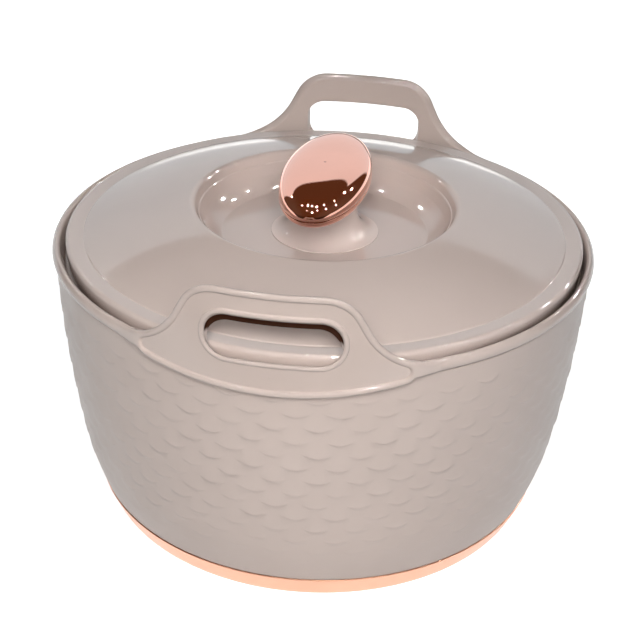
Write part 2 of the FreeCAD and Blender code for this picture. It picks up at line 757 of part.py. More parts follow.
def slab(label, low, high):
    """A Part box wider than the knob, between two heights."""
    box = doc.addObject("Part::Box", label)
    box.setExpression("Length", (half_length * 4).text)
    box.setExpression("Width", (half_length * 4).text)
    box.setExpression("Height", (high - low).text)
    box.setExpression("Placement.Base.x", (-half_length * 2).text)
    box.setExpression("Placement.Base.y", (-half_length * 2).text)
    box.setExpression("Placement.Base.z", low.text)
    doc.recompute()
    return box


knob_outside = oval_solid("knob_outside", 0.0)
knob_inside = oval_solid("knob_inside", knob_wall.value)
knob_bottom, knob_top = knob_middle - half_height * 2, knob_middle + half_height * 2
knob_shell = joined("Part::Cut", "knob_shell", knob_outside, knob_inside)
joined("Part::Common", "knob_cap", knob_shell, slab("upper_half", knob_middle, knob_top))
neck_hole = neck_radius + fit_gap
bored_slab = joined("Part::Cut", "bored_slab", slab("lower_half", knob_bottom, knob_middle),
                    cylinder("neck_hole", neck_hole, knob_bottom, knob_top))
joined("Part::Common", "knob_base", knob_shell, bored_slab)

core_top = knob_middle + half_height - knob_wall - cell("core_gap")
insert_top = neck_top + cell("insert_length")
insert_outer = cell("insert_radius")
turned("knob_core", [
    (insert_outer, neck_top),
    (neck_radius - fit_gap, neck_top),
    (neck_radius - fit_gap, core_top),
    (0.0, core_top),
    (0.0, insert_top + fit_gap),
    (insert_outer, insert_top + fit_gap),
])

insert_bore = cell("screw_radius") + cell("screw_gap")
turned("threaded_insert", [
    (insert_bore, neck_top),
    (insert_outer - fit_gap / 10, neck_top),
    (insert_outer - fit_gap / 10, insert_top),
    (insert_bore, insert_top),
])
turned("knob_washer", [
    (screw_hole, washer_bottom),
    (cell("washer_radius"), washer_bottom),
    (cell("washer_radius"), washer_top),
    (screw_hole, washer_top),
])
turned("knob_screw", [
    (0.0, head_bottom),
    (cell("screw_head_radius"), head_bottom),
    (cell("screw_head_radius"), washer_bottom),
    (cell("screw_radius"), washer_bottom),
    (cell("screw_radius"), insert_top - fit_gap),
    (0.0, insert_top - fit_gap),
])

# ---------------------------------------------------------------- check and write

NODES = (
    "outer_bowl", "base_band", "base_plate", "body_fill_plug", "inner_liner", "body_foam",
    "handle_collar", "lid_shell", "lid_inner_plate", "lid_fill_plug", "lid_gasket", "lid_foam",
    "knob_pedestal", "knob_core", "knob_cap", "knob_base", "threaded_insert", "knob_washer", "knob_screw",
)
doc.recompute()
for item in doc.Objects:
    bad = [state for state in item.State if state in ("Invalid", "Error")]
    if bad:
        raise RuntimeError(f"{item.Label}: {bad}")
os.makedirs("parts", exist_ok=True)
for label in NODES:
    shape = doc.getObjectsByLabel(label)[0].Shape
    if shape.isNull() or not shape.isValid() or not shape.Solids:
        raise RuntimeError(f"{label}: no valid solid")
    shape.exportStep(os.path.join("parts", f"{label}.step"))
    print(f"{label}: {len(shape.Solids)} solid, {shape.Volume / 1000:.2f} cm3")
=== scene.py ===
"""An insulated chapati casserole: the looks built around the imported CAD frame."""

import math
import random

import bmesh
import bpy
import numpy as np
from mathutils import Matrix, Vector
from mathutils.geometry import delaunay_2d_cdt


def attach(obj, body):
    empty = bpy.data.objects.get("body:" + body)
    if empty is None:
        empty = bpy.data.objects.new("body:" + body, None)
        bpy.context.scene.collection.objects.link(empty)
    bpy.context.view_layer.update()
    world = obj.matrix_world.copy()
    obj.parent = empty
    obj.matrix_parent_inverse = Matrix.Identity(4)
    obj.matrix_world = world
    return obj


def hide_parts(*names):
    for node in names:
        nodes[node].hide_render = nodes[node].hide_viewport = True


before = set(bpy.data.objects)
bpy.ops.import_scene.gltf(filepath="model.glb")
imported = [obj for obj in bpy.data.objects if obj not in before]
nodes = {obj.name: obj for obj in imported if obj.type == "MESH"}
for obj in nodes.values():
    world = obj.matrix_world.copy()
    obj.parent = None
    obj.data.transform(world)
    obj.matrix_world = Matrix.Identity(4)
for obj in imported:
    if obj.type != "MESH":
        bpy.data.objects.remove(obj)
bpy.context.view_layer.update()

MM = 0.001
IMAGE_SIDE = 640
rng = random.Random(8)


def new_object(name, data):
    """An object with this data, in the scene's own collection."""
    made = bpy.data.objects.new(name, data)
    bpy.context.scene.collection.objects.link(made)
    return made


# ---- camera

CAMERA_AZIMUTH = math.radians(9.33)
CAMERA_ELEVATION = math.radians(29.49)
CAMERA_DISTANCE = 665.2 * MM
CAMERA_TARGET = Vector((0.0, 0.0, 81.5 * MM))
CAMERA_ROLL = math.radians(1.66)
FOCAL_PIXELS = 1373.5
FRAME_OFFSET_PIXELS = 1.3
SENSOR_WIDTH = 36.0


def make_camera():
    """The camera stands in front, a little to the right, and looks down on the lid."""
    data = bpy.data.cameras.new("camera")
    data.sensor_width = SENSOR_WIDTH
    data.lens = SENSOR_WIDTH * FOCAL_PIXELS / IMAGE_SIDE
    data.shift_x = -FRAME_OFFSET_PIXELS / IMAGE_SIDE
    data.clip_start, data.clip_end = 0.05, 20.0
    flat = math.cos(CAMERA_ELEVATION)
    back = Vector((math.sin(CAMERA_AZIMUTH) * flat, -math.cos(CAMERA_AZIMUTH) * flat,
                   math.sin(CAMERA_ELEVATION)))
    level_right = Vector((math.cos(CAMERA_AZIMUTH), math.sin(CAMERA_AZIMUTH), 0.0))
    level_up = back.cross(level_right)
    right = level_right * math.cos(CAMERA_ROLL) + level_up * math.sin(CAMERA_ROLL)
    up = level_up * math.cos(CAMERA_ROLL) - level_right * math.sin(CAMERA_ROLL)
    camera = new_object("camera", data)
    turn = Matrix((right, up, back)).transposed().to_4x4()
    camera.matrix_world = Matrix.Translation(CAMERA_TARGET + back * CAMERA_DISTANCE) @ turn
    bpy.context.scene.camera = camera


make_camera()

# ---- node helpers


def linear(red, green, blue):
    """An sRGB colour, 0 to 255, as Blender's linear colour."""
    def channel(value):
        value /= 255.0
        return value / 12.92 if value <= 0.04045 else ((value + 0.055) / 1.055) ** 2.4
    return channel(red), channel(green), channel(blue), 1.0


def scaled(colour, factor):
    return tuple(min(c * factor, 1.0) for c in colour[:3]) + (1.0,)


class Nodes:
    """A short way to write a node tree: each call adds one node and wires its inputs."""

    def __init__(self, tree):
        self.tree = tree
        tree.nodes.clear()

    def add(self, kind, settings=(), **inputs):
        node = self.tree.nodes.new("ShaderNode" + kind)
        for name, value in dict(settings).items():
            setattr(node, name, value)
        for name, value in inputs.items():
            socket = node.inputs[int(name[1:])] if name[0] == "_" else node.inputs[name.replace("_", " ")]
            if isinstance(value, bpy.types.NodeSocket):
                self.tree.links.new(value, socket)
            else:
                socket.default_value = value
        return node

    def math(self, operation, first, second=0.0, third=0.0, clamp=False):
        settings = {"operation": operation, "use_clamp": clamp}
        return self.add("Math", settings, _0=first, _1=second, _2=third).outputs[0]

    def times(self, first, second):
        return self.math("MULTIPLY", first, second)

    def place(self):
        """The object's own coordinates."""
        return self.add("TexCoord").outputs["Object"]

    def step(self, value, low, high, to_low=0.0, to_high=1.0):
        """to_low below low, to_high above high, smooth between."""
        ranged = self.add("MapRange", {"interpolation_type": "SMOOTHSTEP"},
                          Value=value, From_Min=low, From_Max=high, To_Min=to_low, To_Max=to_high)
        return ranged.outputs[0]

    def noise(self, vector, scale, detail=3.0, roughness=0.5):
        made = self.add("TexNoise", Vector=vector, Scale=scale, Detail=detail, Roughness=roughness)
        return made.outputs["Fac"]

    def polish(self, roughness, range_of, smudge, lines, line_share):
        """Roughness that varies with smudges and, for its share, with fine lines."""
        uneven = self.math("ADD", self.times(smudge, 1.0 - line_share), self.times(lines, line_share))
        return self.add("MapRange", Value=uneven, From_Min=0.3, From_Max=0.75,
                        To_Min=roughness * range_of[0], To_Max=roughness * range_of[1]).outputs[0]

    def surface(self, **inputs):
        self.add("OutputMaterial", Surface=self.add("BsdfPrincipled", **inputs).outputs[0])

    def mix(self, factor, first, second):
        made = self.add("Mix", {"data_type": "RGBA"}, _0=factor, _6=first, _7=second)
        return made.outputs[2]

    def stretched(self, vector, scale):
        return self.add("Mapping", Vector=vector, Scale=scale).outputs[0]


def new_material(name):
    material = bpy.data.materials.new(name)
    material.use_nodes = True
    return material, Nodes(material.node_tree)


# ---- light

WHITE = (1.0, 1.0, 1.0, 1.0)
ROOM_DARK = (0.10, 0.044, 0.020, 1.0)
ROOM_SIDE = (0.12, 0.075, 0.05, 1.0)
FILL_DARK = (0.07, 0.065, 0.06, 1.0)
FILL_SIDE = (0.15, 0.20, 0.24, 1.0)
BACKDROP_WHITE = (0.88, 0.90, 0.93, 1.0)
BACKDROP_TOP, BACKDROP_LEFT, BACKDROP_RIGHT = 34.0, -55.0, 26.0  # degrees from level and from behind
TOP_SOFTNESS, SIDE_SOFTNESS = 0.8, 1.5  # half the width of those edges, in degrees
SIDE_START, SIDE_FULL = 0.45, 0.95  # sideways shares of a direction between which side colours come in


def make_world():
    """White behind the object for the camera; mirrors see a bright backdrop at the back of a dim room."""
    world = bpy.data.worlds.new("studio")
    bpy.context.scene.world = world
    world.use_nodes = True
    n = Nodes(world.node_tree)
    direction = n.add("TexCoord").outputs["Generated"]
    parts = n.add("SeparateXYZ", Vector=direction)
    x, y, z = parts.outputs
    elevation = n.math("DEGREES", n.math("ARCSINE", z))
    azimuth = n.math("DEGREES", n.math("ARCTAN2", x, y))

    def past(angle, edge, softness):
        return n.step(angle, edge - softness, edge + softness)

    under_top = n.math("SUBTRACT", 1.0, past(elevation, BACKDROP_TOP, TOP_SOFTNESS))
    inside_left = past(azimuth, BACKDROP_LEFT, SIDE_SOFTNESS)
    inside_right = n.math("SUBTRACT", 1.0, past(azimuth, BACKDROP_RIGHT, SIDE_SOFTNESS))
    backdrop = n.times(under_top, n.times(inside_left, inside_right))
    sideways = n.step(n.math("ABSOLUTE", x), SIDE_START, SIDE_FULL)
    room = n.mix(sideways, ROOM_DARK, ROOM_SIDE)
    mirrored_room = n.mix(backdrop, room, BACKDROP_WHITE)
    fill = n.mix(sideways, FILL_DARK, FILL_SIDE)
    path = n.add("LightPath").outputs
    straight = path["Is Camera Ray"]
    seen = n.mix(path["Is Glossy Ray"], fill, mirrored_room)
    around = n.add("Background", Color=seen, Strength=1.0).outputs[0]
    behind = n.add("Background", Color=WHITE, Strength=1.0).outputs[0]
    shader = n.add("MixShader", _0=straight, _1=around, _2=behind).outputs[0]
    n.add("OutputWorld", Surface=shader)


WARM = (1.0, 0.972, 0.945)
NEUTRAL = (1.0, 1.0, 1.0)


def aimed_lamp(name, place, target, size, power, colour=NEUTRAL, glossy=True, diffuse=True):
    """A round area lamp that looks at its target; the camera doesn't see the lamp itself."""
    data = bpy.data.lights.new(name, "AREA")
    data.shape = "DISK"
    data.size = size
    data.energy = power
    data.color = colour
    lamp = new_object(name, data)
    lamp.location = place
    lamp.rotation_mode = "QUATERNION"
    lamp.rotation_quaternion = (target - place).to_track_quat("-Z", "Y")
    lamp.visible_glossy = glossy
    lamp.visible_diffuse = diffuse
    lamp.visible_camera = False
    return lamp


def polar(azimuth, elevation, distance):
    """A place seen from the object's middle: azimuth 0 is the front, 90 the right."""
    a, e = math.radians(azimuth), math.radians(elevation)
    return Vector((math.sin(a) * math.cos(e), -math.cos(a) * math.cos(e), math.sin(e))) * distance


LAMP_CENTRE = Vector((0.0, 0.0, 0.1))  # the lamps stand round this point
KEY_TARGET = Vector((0.0, -0.12, 0.07))  # the key looks at the middle of the bowl's front
KEY_SPREAD = math.radians(75.0)
SOFT_LAMPS = (
    # name, azimuth, elevation, distance, target, diameter, power, colour
    ("key", 10.0, 35.0, 0.8, KEY_TARGET, 0.44, 1.15, WARM),
    ("top", -20.0, 80.0, 1.8, LAMP_CENTRE, 1.4, 0.9, NEUTRAL),
    ("back", 186.0, 5.0, 1.6, LAMP_CENTRE, 1.0, 19.0, WARM),
)
SPOT_DISTANCE = 1.5
SPOTS = (
    # azimuth, elevation, diameter, power
    (16.0, 53.0, 0.036, 5.5),
    (-30.0, 61.0, 0.026, 2.0),
    (48.0, 60.0, 0.028, 2.2),
    (79.0, 43.0, 0.028, 2.2),
    (107.0, 80.0, 0.030, 1.8),
    (-150.0, 85.0, 0.030, 1.8),
    (-121.0, 75.0, 0.030, 1.8),
    (-100.0, 62.0, 0.030, 1.8),
    (116.0, 65.0, 0.030, 1.8),
    (125.0, 48.0, 0.032, 1.8),
    (105.0, 31.0, 0.034, 1.8),
    (-126.0, 35.0, 0.034, 1.8),
    (141.0, 38.0, 0.040, 2.4),
    (140.0, 27.0, 0.060, 4.5),
)


def make_lamps():
    """Soft lamps that give the colours their level, and small spots that only glossy surfaces mirror."""
    for name, azimuth, elevation, distance, target, size, power, colour in SOFT_LAMPS:
        place = LAMP_CENTRE + polar(azimuth, elevation, distance)
        lamp = aimed_lamp(name, place, target, size, power, colour, glossy=False)
        if name == "key":
            lamp.data.spread = KEY_SPREAD
    for index, (azimuth, elevation, size, power) in enumerate(SPOTS):
        place = LAMP_CENTRE + polar(azimuth, elevation, SPOT_DISTANCE)
        aimed_lamp(f"spot_{index}", place, LAMP_CENTRE, size, power, diffuse=False)


make_world()
make_lamps()

# ---- floor

FLOOR_WHITE = (0.46, 0.46, 0.46, 1.0)
FLOOR_SIZE = 6.0
FLOOR_LIFT = 0.85  # the floor's own light for the camera, near the object
LIFT_NEAR, LIFT_FAR = 0.2, 0.5  # distances from the middle between which that light rises to 1
TABLE_FRONT = -0.26  # in reflections the white table ends here and the dim room begins
TABLE_FADE = 0.06


def make_floor():
    """A pale floor that keeps the object's shadow and shows white to the camera and in reflections."""
    mesh = bpy.data.meshes.new("floor")
    half = FLOOR_SIZE / 2
    corners = [(-half, -half, 0), (half, -half, 0), (half, half, 0), (-half, half, 0)]
    mesh.from_pydata(corners, [], [(0, 1, 2, 3)])
    floor = new_object("floor", mesh)
    material, n = new_material("floor_white")
    path = n.add("LightPath").outputs
    depth = n.add("SeparateXYZ", Vector=n.place()).outputs["Y"]
    table = n.step(depth, TABLE_FRONT - TABLE_FADE, TABLE_FRONT)
    mirrored_table = n.times(path["Is Glossy Ray"], table)
    past = n.math("SUBTRACT", path["Is Glossy Ray"], mirrored_table, clamp=True)
    paint = n.add("BsdfDiffuse", Color=n.mix(past, FLOOR_WHITE, ROOM_DARK)).outputs[0]
    straight = n.math("ADD", path["Is Camera Ray"], mirrored_table, clamp=True)
    place = n.place()
    away = n.add("VectorMath", {"operation": "LENGTH"}, _0=place).outputs["Value"]
    level = n.step(away, LIFT_NEAR, LIFT_FAR, FLOOR_LIFT, 1.0)
    lift = n.add("Emission", Color=WHITE, Strength=n.times(straight, level)).outputs[0]
    shader = n.add("AddShader", _0=paint, _1=lift).outputs[0]
    n.add("OutputMaterial", Surface=shader)
    mesh.materials.append(material)


make_floor()

# ---- materials

# Painted shade: the dark warm brown towards which crevices, the front slot's hollow and the knob's pit are
# painted.
PAINTED_SHADE = linear(70, 42, 30)
SHUT_SKY, OPEN_SKY = 0.05, 0.55  # shares of open sky at which a crevice is darkest, and is none
FRONT_EDGE, FRONT_END = -0.117, -0.075  # Y between which the lit front passes into the rest, in metres


def painted_crevice_shade(n, colour, depth, strength, front=1.0):
    """The colour with painted shade: darkened and warmed where the surface lies close to another; less so at
    the lit front.
    """
    open_sky = n.add("AmbientOcclusion", {"samples": 6}, Distance=depth).outputs["AO"]
    shut = n.times(n.step(open_sky, SHUT_SKY, OPEN_SKY, 1.0, 0.0), strength)
    if front < 1.0:
        y = n.add("SeparateXYZ", Vector=n.place()).outputs["Y"]
        shut = n.times(shut, n.step(y, FRONT_EDGE, FRONT_END, front, 1.0))
    return n.mix(shut, colour, PAINTED_SHADE)


# The hollow's painted shade comes in or goes out between each pair of radii, heights or Y
HOLLOW_BACK = (122.05 * MM, 122.25 * MM)
HOLLOW_FACE = (124.55 * MM, 124.95 * MM)
HOLLOW_FOOT = (139.5 * MM, 142.0 * MM)
HOLLOW_ROOF = (151.5 * MM, 155.0 * MM)
HOLLOW_SIDE = (-0.01, 0.01)
HOLLOW_SHADE_TONE = 0.9


def slot_shade(n, place):
    """1 where shade is painted: on the hollow under the front slot's upper edge, between the handle's two
    skins.
    """
    x, y, z = n.add("SeparateXYZ", Vector=place).outputs
    radius = n.math("SQRT", n.math("ADD", n.times(x, x), n.times(y, y)))
    behind_face = n.step(radius, *HOLLOW_FACE, 1.0, 0.0)
    before_back = n.step(radius, *HOLLOW_BACK)
    high = n.step(z, *HOLLOW_FOOT)
    low = n.step(z, *HOLLOW_ROOF, 1.0, 0.0)
    front = n.step(y, *HOLLOW_SIDE, 1.0, 0.0)
    return n.times(n.times(n.times(behind_face, before_back), n.times(high, low)), front)


def plastic(name, colour, roughness, coat=0.0, grain=1400.0, grain_depth=0.02, mottle=0.02, level=0.5,
            gap_shade_depth=3.0 * MM, gap_shade_strength=0.75, gap_shade_front=1.0, slot_shade_painted=False):
    """Moulded plastic: faint flow clouds, uneven polish with hairline rubs, an orange-peel skin, and painted
    shade in crevices and, when asked, in the front slot's hollow.
    """
    material, n = new_material(name)
    place = n.place()
    cloud = n.noise(place, 18.0, 4.0)
    base = n.mix(n.step(cloud, 0.3, 0.7), scaled(colour, 1.0 - mottle), scaled(colour, 1.0 + mottle))
    speck = n.step(n.noise(place, 900.0, 1.0), 0.74, 0.80)
    base = n.mix(n.times(speck, 0.25), base, scaled(colour, 0.8))
    # Painted shade where the surface lies close to another part
    if gap_shade_strength > 0.0:
        base = painted_crevice_shade(n, base, gap_shade_depth, gap_shade_strength, gap_shade_front)
    if slot_shade_painted:
        # Painted shade: the hollow is painted dark brown and its reflection turned down, over a shallow real
        # groove
        hollow = slot_shade(n, place)
        base = n.mix(hollow, base, scaled(PAINTED_SHADE, HOLLOW_SHADE_TONE))
        level = n.math("SUBTRACT", level, n.times(hollow, level))
    smudge = n.noise(place, 60.0, 5.0, 0.6)
    rubs = n.noise(n.stretched(place, (90.0, 2600.0, 900.0)), 1.0, 2.0)
    rough = n.polish(roughness, (0.8, 1.25), smudge, rubs, 0.2)
    skin = n.noise(place, grain, 2.0)
    wave = n.noise(place, 55.0, 2.0)
    bump = n.add("Bump", Strength=grain_depth, Distance=0.4 * MM, Height=skin).outputs[0]
    bump = n.add("Bump", Strength=0.05, Distance=0.5 * MM, Height=wave, Normal=bump).outputs[0]
    n.surface(Base_Color=base, Roughness=rough, Normal=bump, Coat_Weight=coat, Coat_Roughness=0.06,
              Specular_IOR_Level=level)
    return material


# The knob's moulding pit is only painted shade: a dark dot in the colour, with no dent in the surface.
PIT = Vector((0.4, -4.6, 166.1)) * MM  # a moulding pit on the knob's top
PIT_CORE, PIT_EDGE = 0.35 * MM, 0.8 * MM
PIT_SHADE = 0.55
METAL_SHADE_DEPTH = 2.0 * MM


def metal(name, colour, roughness, brushed=(1.0, 1.0, 1.0), brush_depth=0.0, gap_shade_strength=0.0, pit=False):
    """Metal or plating: smudged polish, fine brushing or scratches, and, when asked, painted shade in
    crevices and at the knob's pit.
    """
    material, n = new_material(name)
    place = n.place()
    smudge = n.noise(place, 90.0, 5.0, 0.6)
    lines = n.noise(n.stretched(place, brushed), 900.0, 3.0)
    rough = n.polish(roughness, (0.85, 1.2), smudge, lines, 0.3)
    tarnish = n.step(n.noise(place, 35.0, 4.0), 0.35, 0.75)
    base = n.mix(tarnish, colour, scaled(colour, 0.95))
    # Painted shade where the surface lies close to another part
    if gap_shade_strength > 0.0:
        base = painted_crevice_shade(n, base, METAL_SHADE_DEPTH, gap_shade_strength)
    bump = n.add("Bump", Strength=0.02 + brush_depth, Distance=0.2 * MM, Height=lines).outputs[0]
    if pit:
        # Painted shade of the pit
        away = n.add("VectorMath", {"operation": "DISTANCE"}, _0=place, _1=PIT).outputs["Value"]
        base = n.mix(n.step(away, PIT_CORE, PIT_EDGE, PIT_SHADE, 0.0), base, PAINTED_SHADE)
    n.surface(Base_Color=base, Roughness=rough, Metallic=1.0, Normal=bump)
    return material


def foam(name, colour):
    """Rigid poured foam: pores in a dull skin."""
    material, n = new_material(name)
    place = n.place()
    pores = n.add("TexVoronoi", Vector=place, Scale=700.0).outputs["Distance"]
    cloud = n.noise(place, 40.0, 4.0)
    base = n.mix(n.step(cloud, 0.3, 0.7), scaled(colour, 0.85), colour)
    # Painted shade: the pores' centres are darkened in the colour, beside their bumps
    base = n.mix(n.step(pores, 0.0, 0.3, 0.5, 0.0), base, scaled(colour, 0.5))
    bump = n.add("Bump", Strength=0.6, Distance=0.3 * MM, Height=pores).outputs[0]
    n.surface(Base_Color=base, Roughness=0.95, Normal=bump)
    return material


TAUPE = linear(206, 191, 184)
ROSE_GOLD = (0.95, 0.515, 0.405, 1.0)
FOAM_YELLOW = (0.78, 0.64, 0.30, 1.0)
THREADED = {"brushed": (0.3, 0.3, 6.0), "brush_depth": 0.2}

shell_plastic = plastic("taupe_shell", TAUPE, 0.36, gap_shade_strength=0.5)
collar_plastic = plastic("taupe_collar", TAUPE, 0.085, gap_shade_depth=2.4 * MM, gap_shade_strength=0.7, slot_shade_painted=True)
# Painted light: the lid is the shell's taupe made a little lighter and the pedestal much lighter, for the
# light they catch.
lid_plastic_lightened = plastic("taupe_lid", linear(212, 197, 190), 0.07, gap_shade_depth=5.0 * MM, gap_shade_strength=0.92,
                      gap_shade_front=0.25, level=0.75)
pedestal_plastic_lightened = plastic("taupe_pedestal", linear(232, 217, 210), 0.07,
                           gap_shade_depth=2.0 * MM, gap_shade_strength=0.3)
knob_gold = metal("rose_gold", ROSE_GOLD, 0.028, pit=True)
knob_gold_low = metal("rose_gold_low", ROSE_GOLD, 0.028)
band_gold = metal("peach_band", (0.91, 0.50, 0.345, 1.0), 0.32, brushed=(0.2, 0.2, 3.0), brush_depth=0.05)
liner_metal = metal("liner_steel", (0.62, 0.61, 0.60, 1.0), 0.24, brushed=(0.4, 0.4, 4.0), brush_depth=0.08)
base_plastic = plastic("base_plastic", linear(178, 160, 150), 0.5, grain=900.0, grain_depth=0.15)
pan_plastic = plastic("inner_plate_plastic", linear(214, 200, 192), 0.25)
seal_rubber = plastic("silicone", linear(214, 210, 202), 0.45,
                      grain=2200.0, grain_depth=0.1, gap_shade_strength=0.3)
hidden_looks = {
    "body_fill_plug": base_plastic,
    "lid_fill_plug": pan_plastic,
    "knob_core": base_plastic,
    "body_foam": foam("insulation_foam", FOAM_YELLOW),
    "lid_foam": foam("lid_insulation_foam", FOAM_YELLOW),
    "threaded_insert": metal("insert_brass", (0.78, 0.57, 0.28, 1.0), 0.3, **THREADED),
    "knob_washer": metal("washer_steel", (0.62, 0.62, 0.62, 1.0), 0.3),
    "knob_screw": metal("screw_steel", (0.56, 0.56, 0.58, 1.0), 0.28, **THREADED),
}
for name, material in hidden_looks.items():
    slots = nodes[name].data.materials
    slots.clear()
    slots.append(material)

# ---- mesh helpers

FILLET_STEPS = 5
LEAST_BEND = 0.03  # a corner that turns less than this, in radians, stays as it is
MOST_REACH = 0.45  # a fillet takes no more than this share of a side
GUARD_REACH = 1.6  # a point this many reaches from the corner keeps the flat beside a fillet flat


def unit(vector):
    return vector / np.linalg.norm(vector)


def rounded(corners, closed=True):
    """A profile of (across, up) or (across, up, radius) corners, those with a radius rounded."""
    count, points = len(corners), []
    for index, corner in enumerate(corners):
        here = np.array(corner[:2], float)
        radius = corner[2] if len(corner) > 2 else 0.0
        if radius <= 0.0 or (not closed and index in (0, count - 1)):
            points.append(here)
            continue
        back = np.array(corners[index - 1][:2], float) - here
        ahead = np.array(corners[(index + 1) % count][:2], float) - here
        back_length, ahead_length = np.linalg.norm(back), np.linalg.norm(ahead)
        back, ahead = back / back_length, ahead / ahead_length
        half = math.acos(max(-1.0, min(1.0, float(back @ ahead)))) / 2.0
        sweep = math.pi - 2.0 * half
        if sweep < LEAST_BEND:
            points.append(here)
            continue
        reach = min(radius / math.tan(half), MOST_REACH * back_length, MOST_REACH * ahead_length)
        radius = reach * math.tan(half)
        centre = here + unit(back + ahead) * (radius / math.sin(half))
        first, last = here + back * reach - centre, here + ahead * reach - centre
        points.append(here + back * min(reach * GUARD_REACH, (reach + 0.5 * back_length) / 2.0))
        for step in range(FILLET_STEPS + 1):
            share = step / FILLET_STEPS
            points.append(centre + (first * math.sin((1.0 - share) * sweep)
                                    + last * math.sin(share * sweep)) / math.sin(sweep))
        points.append(here + ahead * min(reach * GUARD_REACH, (reach + 0.5 * ahead_length) / 2.0))
    return np.array(points)


def turned_near(angle, other):
    """The angle, by whole turns, brought within half a turn of the other."""
    while angle - other > math.pi:
        angle -= 2 * math.pi
    while angle - other < -math.pi:
        angle += 2 * math.pi
    return angle


def arc_through(first, middle, last, pieces):
    """Points on the circle through three points, from the first up to but without the last."""
    (ax, ay), (bx, by), (cx, cy) = first, middle, last
    twice = 2.0 * (ax * (by - cy) + bx * (cy - ay) + cx * (ay - by))
    a2, b2, c2 = ax * ax + ay * ay, bx * bx + by * by, cx * cx + cy * cy
    ox = (a2 * (by - cy) + b2 * (cy - ay) + c2 * (ay - by)) / twice
    oy = (a2 * (cx - bx) + b2 * (ax - cx) + c2 * (bx - ax)) / twice
    radius = math.hypot(ax - ox, ay - oy)
    start, mid, stop = (math.atan2(y - oy, x - ox) for x, y in (first, middle, last))
    mid = turned_near(mid, start)
    stop = turned_near(stop, mid)
    turns = np.linspace(start, stop, pieces + 1)[:-1]
    return [(ox + radius * math.cos(t), oy + radius * math.sin(t)) for t in turns]


def grid_faces(columns, rows, wrap_columns=True, wrap_rows=True, first=0):
    """Quads of a grid of vertices stored column by column."""
    i = np.arange(columns if wrap_columns else columns - 1)[:, None]
    j = np.arange(rows if wrap_rows else rows - 1)[None, :]
    i2, j2 = (i + 1) % columns, (j + 1) % rows
    corners = (i * rows + j, i2 * rows + j, i2 * rows + j2, i * rows + j2)
    return np.stack([np.broadcast_to(c, (i.size, j.size)) for c in corners], -1).reshape(-1, 4) + first


def new_piece(name, points, faces, material, body, replaced, weld=0.0):
    """One visible piece from vertices in millimetres; it rides on a body and stands for CAD nodes."""
    mesh = bpy.data.meshes.new(name)
    mesh.from_pydata((np.asarray(points) * MM).tolist(), [], [tuple(f) for f in faces])
    edit = bmesh.new()
    edit.from_mesh(mesh)
    if weld > 0.0:
        bmesh.ops.remove_doubles(edit, verts=edit.verts, dist=weld * MM)
        bmesh.ops.dissolve_degenerate(edit, edges=edit.edges, dist=1e-7)
    bmesh.ops.recalc_face_normals(edit, faces=edit.faces)
    edit.to_mesh(mesh)
    edit.free()
    mesh.polygons.foreach_set("use_smooth", [True] * len(mesh.polygons))
    mesh.materials.append(material)
    piece = new_object(name, mesh)
    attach(piece, body)
    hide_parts(*replaced)
    return piece


LID_SHIFT = 0.4  # the lid sits this far to the right of the rim's centre, in millimetres
POLE_WELD = 0.003  # vertices closer than this on the axis become one, in millimetres


def lathe_points(profile, columns, squash=None):
    """A profile of (radius, height) turned about Z; squash narrows each profile point across X."""
    profile = np.asarray(profile, float)
    squash = np.ones(len(profile)) if squash is None else np.asarray(squash, float)
    turn = np.linspace(0.0, 2.0 * math.pi, columns, endpoint=False)[:, None]
    radius, height = profile[None, :, 0], profile[None, :, 1]
    x = radius * np.sin(turn) * squash[None, :]
    y = -radius * np.cos(turn)
    return np.stack([x, y, np.broadcast_to(height, x.shape)], -1).reshape(-1, 3)


def lathe(name, profile, columns, material, body, replaced, squash=None, poles=False):
    """One turned piece; a lid's piece stands off centre with the lid."""
    points = lathe_points(profile, columns, squash)
    if body == "lid":
        points[:, 0] += LID_SHIFT
    faces = grid_faces(columns, len(profile))
    return new_piece(name, points, faces, material, body, replaced, weld=POLE_WELD if poles else 0.0)


# ---- bowl with its fish-scale relief

WALL_FOOT, BELLY_RADIUS, SEAM_RADIUS = 103.6, 115.1, 123.5
BELLY_HEIGHT, SEAM_HEIGHT = 34.7, 124.2
FOOT_BULGE, FLANK_BULGE = 1.25, 1.6


def wall_radius(z):
    """Outer radius of the bowl's wall: two bulged cones, one under the belly and one above it."""
    z = np.asarray(z, float)
    half = BELLY_HEIGHT / 2
    low = (WALL_FOOT + (BELLY_RADIUS - WALL_FOOT) * z / BELLY_HEIGHT
           + FOOT_BULGE * (1 - ((z - half) / half) ** 2))
    middle, reach = (BELLY_HEIGHT + SEAM_HEIGHT) / 2, (SEAM_HEIGHT - BELLY_HEIGHT) / 2
    high = (BELLY_RADIUS + (SEAM_RADIUS - BELLY_RADIUS) * (z - BELLY_HEIGHT) / (SEAM_HEIGHT - BELLY_HEIGHT)
            + FLANK_BULGE * (1 - ((z - middle) / reach) ** 2))
    return np.where(z <= BELLY_HEIGHT, low, high)


def smooth(value, low, high):
    """0 below low, 1 above high, smooth between."""
    share = np.clip((value - low) / (high - low), 0.0, 1.0)
    return share * share * (3.0 - 2.0 * share)


